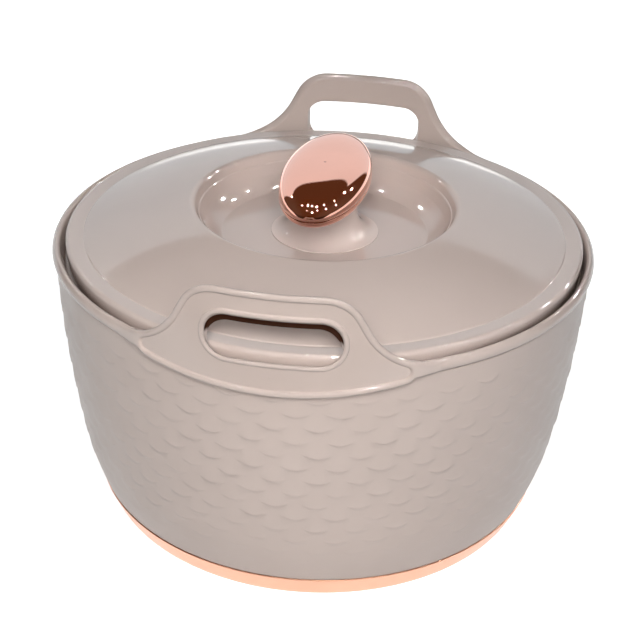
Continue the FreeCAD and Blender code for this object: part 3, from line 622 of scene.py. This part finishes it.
SCALES_AROUND = 42
COLUMNS_PER_SCALE = 13
SCALE_PITCH = 6.89  # height from one row of scales to the next
SCALE_TOP = 98.1  # an arc's lowest point in the row that holds the reference scale
SCALE_AZIMUTH = 9.3  # azimuth of that scale's middle, in degrees to the right of the front
ROWS_UP, ROWS_DOWN = 2, 12
SCALE_SAG = 1.35  # how far an arc's ends rise above its middle, as half the cosine's swing
LIP_HEIGHT = 0.40  # how far a scale's lower lip stands out
LIP_RISER = 0.8  # height over which the lip steps out
LIP_HALF, LIP_FADE = 0.17, 0.33  # half width of an arc and where it has faded, in scale widths
LIP_STRENGTHS, LIP_WIDTHS = (0.55, 1.2), (0.85, 1.15)  # how much the lips differ from scale to scale
LIP_SLIP = 0.03  # how far an arc may lie beside its place, in scale widths
LIP_ROWS = (0.0, 0.4, 0.75, 1.0, 3.0)  # rows of vertices up a scale, in riser heights
SCALE_FALL = 1.3  # power of the slope from a lip back to the wall
RELIEF_FOOT, RELIEF_HEAD = (16.0, 44.0), (112.0, 121.0)  # heights where the relief grows and fades
RELIEF_SINK = 0.05
FOOT_ROWS, HEAD_ROWS = (11.25, 11.5, 12.2, 13.3, 14.3), (121.5, 122.8, 123.4)  # plain rows below and above
HEAD_STEP = 1.2


def per_scale(low, high, index):
    """A random value for each scale of a row, given at every column."""
    return np.array([rng.uniform(low, high) for _ in range(SCALES_AROUND)])[index]


def make_bowl():
    """The outer shell: rows of overlapping scales with raised lower lips, and a plain inside."""
    columns = SCALES_AROUND * COLUMNS_PER_SCALE
    turn = np.arange(columns) * (360.0 / columns)
    phase = (turn - SCALE_AZIMUTH) / (360.0 / SCALES_AROUND)
    heights, reliefs = [], []

    def plain(z):
        heights.append(np.full(columns, float(z)))
        reliefs.append(np.zeros(columns))

    def staggered(row):
        return phase + (0.5 if row % 2 else 0.0)

    def curve(row):
        return SCALE_TOP - row * SCALE_PITCH + SCALE_SAG * (1.0 - np.cos(2.0 * math.pi * staggered(row)))

    rows = list(range(ROWS_DOWN, -ROWS_UP - 1, -1))
    for z in FOOT_ROWS:
        plain(z)
    for row in rows:
        offset = staggered(row)
        index = np.round(offset).astype(int) % SCALES_AROUND
        strength = per_scale(*LIP_STRENGTHS, index)
        slip = per_scale(-LIP_SLIP, LIP_SLIP, index)
        width = per_scale(*LIP_WIDTHS, index)
        across = np.abs(offset - np.round(offset) - slip) / width
        lip = strength * (1.0 - smooth(across, LIP_HALF, LIP_FADE))
        bottom = curve(row)
        top = curve(row - 1) if row != rows[-1] else bottom + SCALE_PITCH
        for share in LIP_ROWS:
            z = bottom + share * LIP_RISER
            up = (z - bottom - LIP_RISER) / (top - bottom - LIP_RISER)
            if share < 1.0:
                rise = smooth(np.full(columns, share), 0.0, 1.0)
            else:
                rise = np.maximum(1.0 - up, 0.0) ** SCALE_FALL
            fade = smooth(z, *RELIEF_FOOT) * (1.0 - smooth(z, *RELIEF_HEAD))
            heights.append(z)
            reliefs.append(LIP_HEIGHT * lip * rise * fade)
    last = float(heights[-1].max())
    for z in (last + HEAD_STEP,) + HEAD_ROWS:
        plain(z)
    height = np.array(heights).T
    radius = wall_radius(height) + np.array(reliefs).T - RELIEF_SINK
    foot, head = FOOT_ROWS[0], HEAD_ROWS[-1]
    edge = rounded([    # from the wall's top over the edge and down the inside to the wall's foot
        (wall_radius(head) - RELIEF_SINK, head), (123.35, 123.98, 0.25), (122.3, 124.0, 0.3),
        (121.9, 117.2, 0.3), (120.7, 116.9, 0.6), (117.6, 79.0), (112.5, 34.7), (106.3, 13.6, 1.0),
        (100.1, 11.1, 0.8), (100.0, 2.1, 0.3), (102.7, 2.1, 0.3), (105.0, 10.9, 0.2), (106.9, 11.1, 0.15),
        (108.2, 11.15, 0.12), (wall_radius(foot) - RELIEF_SINK, foot)], closed=False)[1:-1]
    around = np.radians(turn)[:, None]
    radius, height = (np.concatenate([rows, np.tile(line, (columns, 1))], 1)
                      for rows, line in ((radius, edge[:, 0]), (height, edge[:, 1])))
    points = np.stack([radius * np.sin(around), -radius * np.cos(around), height], -1).reshape(-1, 3)
    faces = grid_faces(columns, height.shape[1])
    return new_piece("bowl_shell", points, faces, shell_plastic, "bowl", ["outer_bowl"])


make_bowl()

# ---- base band, base plate, liner

band_outer = arc_through((104.2, 0.0), (106.6, 5.5), (108.9, 11.0), 8)[1:]
lathe("rose_band", rounded(
    [(96.1, 0.0, 0.3), (104.0, 0.0, 0.7)] + band_outer + [(108.85, 10.95, 0.5), (106.3, 10.95, 0.2),
     (104.4, 5.5), (102.9, 1.8, 0.2), (96.1, 1.8, 0.3)]),
    384, band_gold, "bowl", ["base_band"])
lathe("base_disc", rounded([(6.0, 2.0, 0.3), (20.0, 2.0), (60.0, 2.0), (99.8, 2.0, 0.4), (99.8, 4.4, 0.3),
                            (60.0, 4.4), (6.0, 4.4, 0.3)]),
      192, base_plastic, "bowl", ["base_plate"])

LINER_STEEL = 0.6  # thickness of the liner's sheet
LINER_FLOOR = 14.0


def liner_curve(offset):
    """The liner's floor, bottom curve and wall, on its inside or an offset outside it."""
    floor, knee = LINER_FLOOR - offset, (101.0 + offset, 42.0)
    bend = arc_through((78.0, floor), (96.5 + offset * 0.7, 21.0 - offset * 0.7), knee, 14)
    return [(0.0, floor), (30.0, floor), (60.0, floor)] + bend + [
        knee, (104.0 + offset, 67.0), (107.0 + offset, 93.0)]


liner_flange = [(110.0, 118.2, 0.8), (117.9, 118.25, 0.2), (117.9, 117.75, 0.2), (110.6, 117.7, 0.6)]
lathe("steel_liner", rounded(liner_curve(0.0) + liner_flange + liner_curve(LINER_STEEL)[::-1]),
      256, liner_metal, "bowl", ["inner_liner"], poles=True)

# ---- collar: rim ring and two slotted handles

RIM_RADIUS = 125.0
RIM_TOP = 130.0
ROUND_COLUMNS = 480  # columns of the rim's ring and of the lid's dome
rim_outside = arc_through((123.45, 124.25), (125.0, 127.1), (124.15, 129.1), 8)
rim_shoulder = arc_through((124.15, 129.1), (123.75, 129.62), (123.15, 129.95), 4)
rim_inside = arc_through((123.15, 129.95), (122.05, 129.5), (121.3, 128.2), 5)
ring_points = lathe_points(rounded(
    [(122.4, 124.3, 0.2), (123.3, 124.25, 0.1)] + rim_outside[1:] + rim_shoulder + rim_inside + [
        (121.3, 128.2), (119.6, 121.2, 0.8), (112.0, 121.2, 0.5), (112.0, 118.4, 0.4), (118.2, 118.4, 0.3),
        (118.2, 117.3, 0.2), (121.7, 117.3, 0.3), (121.8, 123.8)]), ROUND_COLUMNS)
ring_rows = len(ring_points) // ROUND_COLUMNS

FRONT, REAR = 1.0, -1.0  # the two handles
PLATE_FACE, PLATE_BACK = 125.3, 122.0  # radii of the handle's skins
BEAD_RISE, BEAD_HALF = 1.3, 1.4
HANDLE_TOP, TOP_HALF, SHOULDER, FOOT_RADIUS = 162.2, 21.0, 17.5, 32.0
SLOPE = math.radians(62.0)
APRON_BACK, APRON_LOW, APRON_SAG = 123.75, 116.4, 0.00182
NOSE, NOSE_RADIUS, APRON_CORNER = (53.7, 127.26), 2.7, 5.5
PLATE_END = 75.0  # arc length from the handle's middle at which its mesh ends in the rim
SLOT_HALF, SLOT_CORNER = {FRONT: 27.9, REAR: 29.6}, {FRONT: 9.2, REAR: 8.6}
SLOT_LOW, SLOT_HIGH = {FRONT: 131.5, REAR: 126.8}, 150.9
SLOT_SHIFT = {FRONT: 1.5, REAR: 0.0}  # along the arc, to the right
SLOT_BEAD_HALF, SLOT_BEAD_RISE = 1.05, 0.95
SLOT_LINTEL = {FRONT: 4.9, REAR: 3.5}  # how much lower the slot's top is at the back
SLOT_FLARE = {FRONT: (0.0, -1.6), REAR: (1.5, 1.5)}  # how much wider its back is, low down and high up
SILL_FALL = 2.5  # how much lower its sill is at the back
HOLLOW_DEPTH = {FRONT: 2.6, REAR: 0.0}  # how far the hollow between the skins goes up
SPACING = 1.3  # between the points of an outline

shoulder_end = (TOP_HALF + SHOULDER * math.sin(SLOPE), HANDLE_TOP - SHOULDER * (1.0 - math.cos(SLOPE)))
foot_start_up = RIM_TOP + FOOT_RADIUS * (1.0 - math.cos(SLOPE))
foot_start = shoulder_end[0] + (shoulder_end[1] - foot_start_up) / math.tan(SLOPE)
FOOT = (foot_start + FOOT_RADIUS * math.sin(SLOPE), RIM_TOP + FOOT_RADIUS)


def arc_points(centre, radius, start, stop, ends=True):
    """Points on an arc between two angles in degrees."""
    count = max(2, int(abs(math.radians(stop - start)) * radius / SPACING) + 1)
    turns = np.radians(np.linspace(start, stop, count + 1))
    points = [(centre[0] + radius * math.cos(t), centre[1] + radius * math.sin(t)) for t in turns]
    return points if ends else points[:-1]


def line_points(first, last):
    """Points on a straight line, from the first up to but without the last."""
    count = max(1, int(math.dist(first, last) / SPACING))
    return [tuple(np.array(first) + (np.array(last) - np.array(first)) * k / count) for k in range(count)]


def top_line(inset, foot_end=-90.0):
    """The handle's upper edge from its middle to the rim, moved inwards by the inset."""
    slope = math.degrees(SLOPE)
    line = line_points((0.0, HANDLE_TOP - inset), (TOP_HALF, HANDLE_TOP - inset))
    line += arc_points((TOP_HALF, HANDLE_TOP - SHOULDER), SHOULDER - inset, 90.0, 90.0 - slope, False)
    shoulder_last = (shoulder_end[0] - inset * math.sin(SLOPE), shoulder_end[1] - inset * math.cos(SLOPE))
    foot_reach = FOOT_RADIUS + inset
    foot_first = (FOOT[0] - foot_reach * math.sin(SLOPE), FOOT[1] - foot_reach * math.cos(SLOPE))
    line += line_points(shoulder_last, foot_first)
    line += arc_points(FOOT, foot_reach, -90.0 - slope, foot_end)
    return line


def apron_line(inset, stop):
    """The apron's lower edge from its middle outwards, moved inwards by the inset."""
    across = np.linspace(0.0, stop, int(stop / SPACING))
    lean = 2.0 * APRON_SAG * across
    size = np.sqrt(1.0 + lean * lean)
    return [(s - lean_k / k * inset, APRON_LOW + APRON_SAG * s * s + inset / k)
            for s, lean_k, k in zip(across, lean, size)]


APRON_TURN = -78.0  # where on the corner's arc the apron's edge runs into it, in degrees
APRON_TANGENT = NOSE[0] + APRON_CORNER * 0.199
CORNER_STOP = -math.degrees(math.asin((NOSE[1] - SEAM_HEIGHT) / APRON_CORNER))
corner_last = (NOSE[0] + APRON_CORNER * math.cos(math.radians(CORNER_STOP)), SEAM_HEIGHT)


def bottom_line(inset):
    """The lower edge from the apron's middle round its corner and along the rim, moved inwards."""
    line = apron_line(inset, APRON_TANGENT)
    line += arc_points(NOSE, APRON_CORNER - inset, APRON_TURN, CORNER_STOP, inset == 0.0)
    if inset > 0.0:
        line += arc_points(corner_last, inset, 180.0 + CORNER_STOP, 90.0, False)
    line += line_points((corner_last[0] + (0.0 if inset else SPACING), SEAM_HEIGHT + inset),
                        (PLATE_END, SEAM_HEIGHT + inset))
    return line + [(PLATE_END, SEAM_HEIGHT + inset)]


def upper_edge(inset):
    """The whole upper line from the middle to the plate's end, along the rim's top."""
    line = top_line(inset)
    return line[:-1] + line_points(line[-1], (PLATE_END, RIM_TOP - inset)) + [(PLATE_END, RIM_TOP - inset)]


def mirrored(line):
    """A line from the middle outwards, continued to the left side: left end to right end."""
    return [(-s, z) for s, z in reversed(line) if s > 1e-6] + list(line)


def slot_loop(grow, side):
    """A handle's finger slot in outline, grown by a margin, anticlockwise."""
    half, corner = SLOT_HALF[side] + grow, SLOT_CORNER[side] + grow
    low, high = SLOT_LOW[side] - grow, SLOT_HIGH + grow
    right, bottom, top = half - corner, low + corner, high - corner
    # each straight side's ends, and the centre of the corner that follows it
    sides = (((-right, low), (right, low), (right, bottom)),
             ((half, bottom), (half, top), (right, top)),
             ((right, high), (-right, high), (-right, top)),
             ((-half, top), (-half, bottom), (-right, bottom)))
    loop = []
    for index, (first, last, centre) in enumerate(sides):
        stop = 90.0 * index
        loop += line_points(first, last) + arc_points(centre, corner, stop - 90.0, stop, False)
    return [(s + SLOT_SHIFT[side], z) for s, z in loop]


def panel_loop(inset):
    """Edge of the sunken panel: an inset from the upper line, the nose beside the rim, and the lower line."""
    toward = math.degrees(math.atan2(NOSE[1] - FOOT[1], NOSE[0] - FOOT[0]))
    toward = toward if toward < 0 else toward - 360.0
    upper = top_line(2 * BEAD_HALF + inset, toward)
    nose = arc_points(NOSE, NOSE_RADIUS - inset, toward + 180.0, APRON_TURN)[1:-1]
    lower = apron_line(2 * BEAD_HALF + inset, APRON_TANGENT)
    right = upper + nose + lower[::-1]
    return right + [(-s, z) for s, z in reversed(right) if s > 1e-6]


def distance_to(points, line, closed=True):
    """Distance of each point from a polyline."""
    line = np.asarray(line, float)
    first, last = (line, np.roll(line, -1, 0)) if closed else (line[:-1], line[1:])
    best = np.full(len(points), 1e9)
    for a, b in zip(first, last):
        d = b - a
        size = float(d @ d)
        share = np.clip(((points - a) @ d) / size, 0.0, 1.0) if size > 0.0 else np.zeros(len(points))
        best = np.minimum(best, np.hypot(*(points - a - share[:, None] * d).T))
    return best


def inside(points, loop):
    """Whether each point lies in a closed loop."""
    loop = np.asarray(loop, float)
    x, y = points[:, 0], points[:, 1]
    result = np.zeros(len(points), bool)
    for (ax, ay), (bx, by) in zip(loop, np.roll(loop, -1, 0)):
        crosses = (ay > y) != (by > y)
        with np.errstate(divide="ignore", invalid="ignore"):
            cut = (bx - ax) * (y - ay) / (by - ay) + ax
        result ^= crosses & (x < cut)
    return result


def quarter_round(distance, half=BEAD_HALF):
    """A bead's height, as a share, at a distance from its edge; half is the bead's half width."""
    share = np.clip(distance / half, 0.0, 1.0)
    return np.sqrt(np.maximum(1.0 - (1.0 - share) ** 2, 0.0))


RIM_PROFILE = np.array(rim_outside + rim_shoulder + [(123.15, 129.95)])
outer_top, outer_bottom = mirrored(upper_edge(0.0)), mirrored(bottom_line(0.0))
outer_loop = outer_bottom + outer_top[::-1]
panel_edge = panel_loop(0.0)
BLEND_START, BLEND_STOP = 56.0, 74.5  # arc lengths between which the handle's face becomes the rim's
RIM_SINK = 0.03  # how far the handle's mesh lies under the rim's there


def face_radius(points, side=FRONT):
    """How far the handle's front stands from the axis at (arc length, height) points."""
    points = np.asarray(points, float)
    edge = np.minimum(distance_to(points, outer_top, False), distance_to(points, outer_bottom, False))
    from_panel = distance_to(points, panel_edge)
    rise = np.where(inside(points, panel_edge) & (from_panel > 1e-4), 0.0,
                    quarter_round(np.minimum(edge, from_panel)))
    from_slot = distance_to(points, slot_loop(0.0, side))
    slot_rise = quarter_round(np.minimum(from_slot, 2 * SLOT_BEAD_HALF - from_slot), SLOT_BEAD_HALF)
    handle = PLATE_FACE + np.maximum(BEAD_RISE * rise, SLOT_BEAD_RISE * slot_rise)
    rim = np.interp(points[:, 1], RIM_PROFILE[:, 1], RIM_PROFILE[:, 0]) - RIM_SINK
    share = smooth(np.abs(points[:, 0]), BLEND_START, BLEND_STOP)
    return handle + (rim - handle) * share


def on_ring(points, radius):
    """(arc length, height) points at a radius, in space, for the front handle."""
    points = np.asarray(points, float)
    turn = points[:, 0] / RIM_RADIUS
    return np.stack([radius * np.sin(turn), -radius * np.cos(turn), points[:, 1]], -1)


def triangles(loops, lines, extra, region, holes):
    """Triangulates closed loops, open lines and loose points; keeps what lies in the region."""
    vertices, edges = [], []
    for path, closed in [(loop, True) for loop in loops] + [(line, False) for line in lines]:
        start, count = len(vertices), len(path)
        vertices += [Vector((float(s), float(z))) for s, z in path]
        edges += [(start + k, start + (k + 1) % count) for k in range(count if closed else count - 1)]
    vertices += [Vector((float(s), float(z))) for s, z in extra]
    found, _, faces, *_ = delaunay_2d_cdt(vertices, edges, [], 0, 1e-4)
    flat = np.array([(v.x, v.y) for v in found])
    faces = np.array([f for f in faces if len(f) == 3])
    centres = flat[faces].mean(1)
    keep = inside(centres, region)
    for hole in holes:
        keep &= ~inside(centres, hole)
    return flat, faces[keep]


def grid_inside(region, holes, step, margin):
    """Loose points on a grid, clear of the region's edge and of the holes."""
    region = np.asarray(region, float)
    s, z = np.meshgrid(np.arange(region[:, 0].min(), region[:, 0].max(), step),
                       np.arange(region[:, 1].min(), region[:, 1].max(), step))
    points = np.stack([s.ravel(), z.ravel()], -1)
    keep = inside(points, region) & (distance_to(points, region) > margin)
    for hole in holes:
        keep &= ~inside(points, hole) & (distance_to(points, hole) > margin)
    return points[keep]


BEAD_ROWS = (0.06, 0.2, 0.42, 0.7, 1.02, 1.4)  # distances of the bead's mesh lines from its edge
EDGE_CLEAR = 0.4  # width of the plain strip beside a bead
FRONT_GRID, FRONT_MARGIN = 2.6, 0.9
BACK_GRID, BACK_MARGIN = 3.0, 1.0
BACK_INSET = 2.5
INSET_START, INSET_STOP = 48.0, 64.0  # arc lengths between which the inset fades out
DROP_START, DROP_STOP = 56.0, 68.0  # arc lengths between which the top's back edge drops under the rim
RIM_DROP = 1.6


def strip(lines, closed=False):
    """The surface through successive lines of points."""
    return np.stack(lines, 1).reshape(-1, 3), grid_faces(len(lines[0]), len(lines), closed, False)


def back_inset(s):
    """How far the back edge of the handle's top lies inside its front edge."""
    return BACK_INSET * (1.0 - smooth(np.abs(s), INSET_START, INSET_STOP))


def rim_drop(s):
    """How far the back edge of the handle's top lies lower than its front edge, to stay under the rim."""
    return smooth(np.abs(s), DROP_START, DROP_STOP) * RIM_DROP


def handle_front(side):
    """The handle's front skin with its beads, round the slot."""
    slot_edge, bead_width = slot_loop(0.0, side), 2 * SLOT_BEAD_HALF
    slot_clear = slot_loop(bead_width + EDGE_CLEAR, side)
    lines = [mirrored(edge(row)) for edge in (upper_edge, bottom_line) for row in BEAD_ROWS]
    loops = [outer_loop, panel_loop(0.0), panel_loop(EDGE_CLEAR), slot_edge]
    loops += [slot_loop(bead_width, side), slot_clear]
    loops += [panel_loop(-row) for row in BEAD_ROWS[:-1]]
    rows = [row * SLOT_BEAD_HALF / BEAD_HALF for row in BEAD_ROWS]
    loops += [slot_loop(row, side) for row in rows] + [slot_loop(bead_width - row, side) for row in rows[:-1]]
    extra = grid_inside(panel_loop(EDGE_CLEAR), [slot_clear], FRONT_GRID, FRONT_MARGIN)
    flat, faces = triangles(loops, lines, extra, outer_loop, [slot_edge])
    return on_ring(flat, face_radius(flat, side)), faces


def shifted_along(line, amounts):
    """Each point of a line moved to its right by its own amount."""
    line = np.asarray(line, float)
    ahead = np.gradient(line, axis=0)
    normal = np.stack([ahead[:, 1], -ahead[:, 0]], -1)
    normal /= np.linalg.norm(normal, axis=1)[:, None]
    return line + normal * np.asarray(amounts)[:, None]


TOP_LAND = (  # each line of the handle's upper side: shares of the way inwards and back
    (0.0, 0.0), (0.04, 0.12), (0.14, 0.30), (0.34, 0.55), (0.60, 0.78), (0.82, 0.92), (1.0, 1.0), (1.16, 1.0))


def top_land():
    """The handle's upper side, falling and rounding from the front edge to the back."""
    line = np.asarray(outer_top, float)
    front = face_radius(line)
    columns = []
    for inset, depth in TOP_LAND:
        moved = shifted_along(line, back_inset(line[:, 0]) * inset)
        moved[:, 1] -= rim_drop(line[:, 0]) * depth
        columns.append(on_ring(moved, front + (PLATE_BACK - front) * depth))
    return strip(columns)


LINTEL_START, LINTEL_FULL = 9.0, 3.0  # how far below the slot's top the hollow's roof begins and is full
FLARE_HEIGHTS, FLARE_ACROSS = (0.35, 0.85), (-1.6, 0.2)  # shares of the slot where the upper flare grows


def tapered(points, share, side, hollow=0.0):
    """Slot outline points part of the way to the handle's back: top and sill lower, ends moved outwards."""
    points = np.array(points, float)
    high = np.clip((points[:, 1] - SLOT_LOW[side]) / (SLOT_HIGH - SLOT_LOW[side]), 0.0, 1.0)
    upper = smooth(points[:, 1], SLOT_HIGH - LINTEL_START, SLOT_HIGH - LINTEL_FULL)
    points[:, 1] += hollow * upper - share * (SLOT_LINTEL[side] * high + SILL_FALL * (1.0 - high))
    across = (points[:, 0] - SLOT_SHIFT[side]) / SLOT_HALF[side]
    low_flare, high_flare = SLOT_FLARE[side]
    flare = low_flare + ((high_flare - low_flare) * smooth(high, *FLARE_HEIGHTS)
                         * smooth(across, *FLARE_ACROSS))
    points[:, 0] += flare * share * across
    return points


SLOT_LAND = (  # each line of the slot's inside: share of the way back, growth, and 1 in the hollow
    (0.0, 0.0, 0.0), (0.06, 0.0, 0.0), (0.18, 0.0, 0.0), (0.2, 0.0, 1.0), (0.3, 0.0, 1.0), (0.55, 0.0, 1.0),
    (0.78, 0.0, 1.0), (0.8, 0.0, 0.0), (0.9, 0.06, 0.0), (0.96, 0.2, 0.0), (1.0, 0.5, 0.0))
BACK_STEP_TOP = 125.6  # the back skin steps from the apron's radius to the handle's up to this height
APRON_ROWS = (0.0, 0.35, 0.75, 1.0)
COLLAR_WELD = 0.004


def slot_land(side):
    """The inside of the slot, from the front skin to the back."""
    columns = [on_ring(tapered(slot_loop(grow, side), share, side, HOLLOW_DEPTH[side] * hollow),
                       PLATE_FACE + (PLATE_BACK - PLATE_FACE) * share)
               for share, grow, hollow in SLOT_LAND]
    return strip(columns, closed=True)


def handle_back(side):
    """The handle's plain back skin."""
    line = np.asarray(outer_top, float)
    top = shifted_along(line, back_inset(line[:, 0]) * TOP_LAND[-1][0])
    top[:, 1] -= rim_drop(line[:, 0])
    region = outer_bottom + [tuple(p) for p in top[::-1]]
    hole = [tuple(p) for p in tapered(slot_loop(SLOT_LAND[-1][1], side), 1.0, side)]
    extra = grid_inside(region, [hole], BACK_GRID, BACK_MARGIN)
    flat, faces = triangles([region, hole], [], extra, region, [hole])
    radius = APRON_BACK + (PLATE_BACK - APRON_BACK) * smooth(flat[:, 1], SEAM_HEIGHT, BACK_STEP_TOP)
    return on_ring(flat, radius), faces


def apron_land():
    """The apron's lower side, from its front edge back to the bowl."""
    line = np.asarray(outer_bottom, float)
    front = face_radius(line)
    return strip([on_ring(line, front + (APRON_BACK - front) * share) for share in APRON_ROWS])


def make_collar():
    """The rim's ring with both handles welded on; the rear one is turned half a round."""
    points, faces = [ring_points], [tuple(f) for f in grid_faces(ROUND_COLUMNS, ring_rows)]
    total = len(ring_points)
    same = (top_land(), apron_land())
    for side in (FRONT, REAR):
        for part_points, part_faces in same + (handle_front(side), slot_land(side), handle_back(side)):
            points.append(part_points * (side, side, 1.0))
            faces += [tuple(f) for f in np.asarray(part_faces) + total]
            total += len(part_points)
    return new_piece("collar", np.concatenate(points), faces, collar_plastic, "bowl",
                     ["handle_collar"], weld=COLLAR_WELD)


make_collar()

# ---- lid

CREST_START = 66.3  # radius at which the dome gives way to the rounding round the well
dome = arc_through((110.75, 132.65), (85.85, 140.75), (63.3, 145.07), 26)
dome = [p for p in dome[1:] if p[0] > CREST_START]
well_wall = arc_through((59.2, 142.6), (54.95, 135.7), (48.0, 130.0), 12)
lid_rim = [(118.7, 121.5, 0.5), (119.4, 132.72, 2.1), (114.8, 132.5), (111.25, 132.22, 0.3),
           (110.8, 132.64, 0.3)]
well_floor = [(48.0, 130.0, 1.6), (40.0, 130.0), (25.5, 130.0), (12.0, 130.0), (2.4, 130.0, 0.2)]
lid_outside = lid_rim + dome + [(60.9, 145.55, 2.8)] + well_wall[1:] + well_floor
lid_inside = [(2.4, 127.6, 0.2), (20.0, 127.6), (47.2, 127.6, 1.0), (53.4, 132.6), (58.2, 141.2, 1.5),
              (64.0, 142.5), (85.8, 138.2), (108.0, 130.8), (117.0, 130.0, 1.2), (116.3, 121.5, 0.5)]
lathe("lid_dome", rounded(lid_outside + lid_inside), ROUND_COLUMNS, lid_plastic_lightened, "lid",
      ["lid_shell"])

lathe("lid_pan", rounded([
    (6.0, 112.5, 0.3), (40.0, 112.5), (80.0, 112.5), (108.5, 112.5, 1.6), (108.5, 121.5, 0.3),
    (116.1, 121.5, 0.4), (116.1, 123.5, 0.4), (106.5, 123.5, 0.8), (106.5, 114.5, 0.8), (80.0, 114.5),
    (6.0, 114.5, 0.3)]),
    320, pan_plastic, "lid", ["lid_inner_plate"])
lathe("seal_ring", rounded([
    (108.7, 118.6, 0.3), (110.4, 118.6, 0.3), (110.4, 119.53, 0.2), (111.7, 120.14, 0.15),
    (111.7, 120.7, 0.25), (110.4, 120.28, 0.2), (110.4, 121.4, 0.3), (108.7, 121.4, 0.3)]),
    320, seal_rubber, "lid", ["lid_gasket"])

# ---- pedestal and knob

flare = arc_through((25.0, 130.5), (17.3, 134.3), (14.9, 141.0), 14)[1:]
neck = arc_through((14.9, 141.0), (15.1, 144.6), (15.8, 147.4), 8)
lathe("knob_stem", rounded([(2.4, 130.02, 0.2), (25.0, 130.02, 0.2), (25.0, 130.5, 0.2)] + flare + neck + [
    (15.8, 148.0, 0.5), (13.0, 148.0, 0.2), (13.0, 150.4, 0.3), (2.4, 150.4, 0.2)]),
    192, pedestal_plastic_lightened, "lid", ["knob_pedestal"])

KNOB_LENGTH, KNOB_WIDTH, KNOB_MIDDLE, KNOB_WALL = 46.5, 20.2, 155.4, 2.2
UPPER, LOWER = 1.0, -1.0  # the knob's two shells
KNOB_HEIGHT = {UPPER: 10.7, LOWER: 7.3}
KNOB_POWER = 2.0 / 2.8
KNOB_JOINT = 0.015  # half the gap between the shells
KNOB_EDGE = (0.08, 0.02)  # how far the first two rows of a shell lie inside its length
KNOB_HOLE = 13.3  # the lower shell is open round the pedestal's neck, out to here
OUTER_START, INNER_START = 0.004, 0.01  # angles at which the sections leave the joint
OUTER_ROWS, INNER_ROWS, KNOB_COLUMNS = 34, 14, 224


def oval_section(inset, side, rows, low=0.0):
    """Half a knob section from its joint to the axis or the hole, on its outside or an inset inside it."""
    turns = np.linspace(low, math.pi / 2, rows)
    length, height = KNOB_LENGTH - inset, KNOB_HEIGHT[side] - inset
    across = length * np.abs(np.cos(turns)) ** KNOB_POWER
    across[-1] = 0.0
    up = side * height * np.sin(turns) ** KNOB_POWER
    squash = np.full(rows, (KNOB_WIDTH - inset) / length)
    keep = across * squash > KNOB_HOLE if side == LOWER else slice(None)
    return np.stack([across, KNOB_MIDDLE + up], -1)[keep], squash[keep]


def make_knob_shell(name, side, material, node):
    """One of the knob's shells: an oval dish with a wall, with its edge at the joint."""
    outer, outer_squash = oval_section(0.0, side, OUTER_ROWS, OUTER_START)
    inner, inner_squash = oval_section(KNOB_WALL, side, INNER_ROWS, INNER_START)
    rim = KNOB_MIDDLE + side * KNOB_JOINT
    edge = np.array([(KNOB_LENGTH - KNOB_EDGE[0], rim),
                     (KNOB_LENGTH - KNOB_EDGE[1], KNOB_MIDDLE + side * KNOB_JOINT * 2)])
    inner_edge = np.array([(KNOB_LENGTH - KNOB_WALL, rim)])
    profile = np.concatenate([edge, outer[1:], inner[::-1][:-1], inner_edge])
    squash = np.concatenate([np.full(2, KNOB_WIDTH / KNOB_LENGTH), outer_squash[1:], inner_squash[::-1][:-1],
                             inner_squash[:1]])
    lathe(name, profile, KNOB_COLUMNS, material, "lid", [node], squash=squash, poles=side == UPPER)


make_knob_shell("knob_upper", UPPER, knob_gold, "knob_cap")
make_knob_shell("knob_lower", LOWER, knob_gold_low, "knob_base")

# ---- finish

bpy.context.scene.view_settings.view_transform = "Standard"
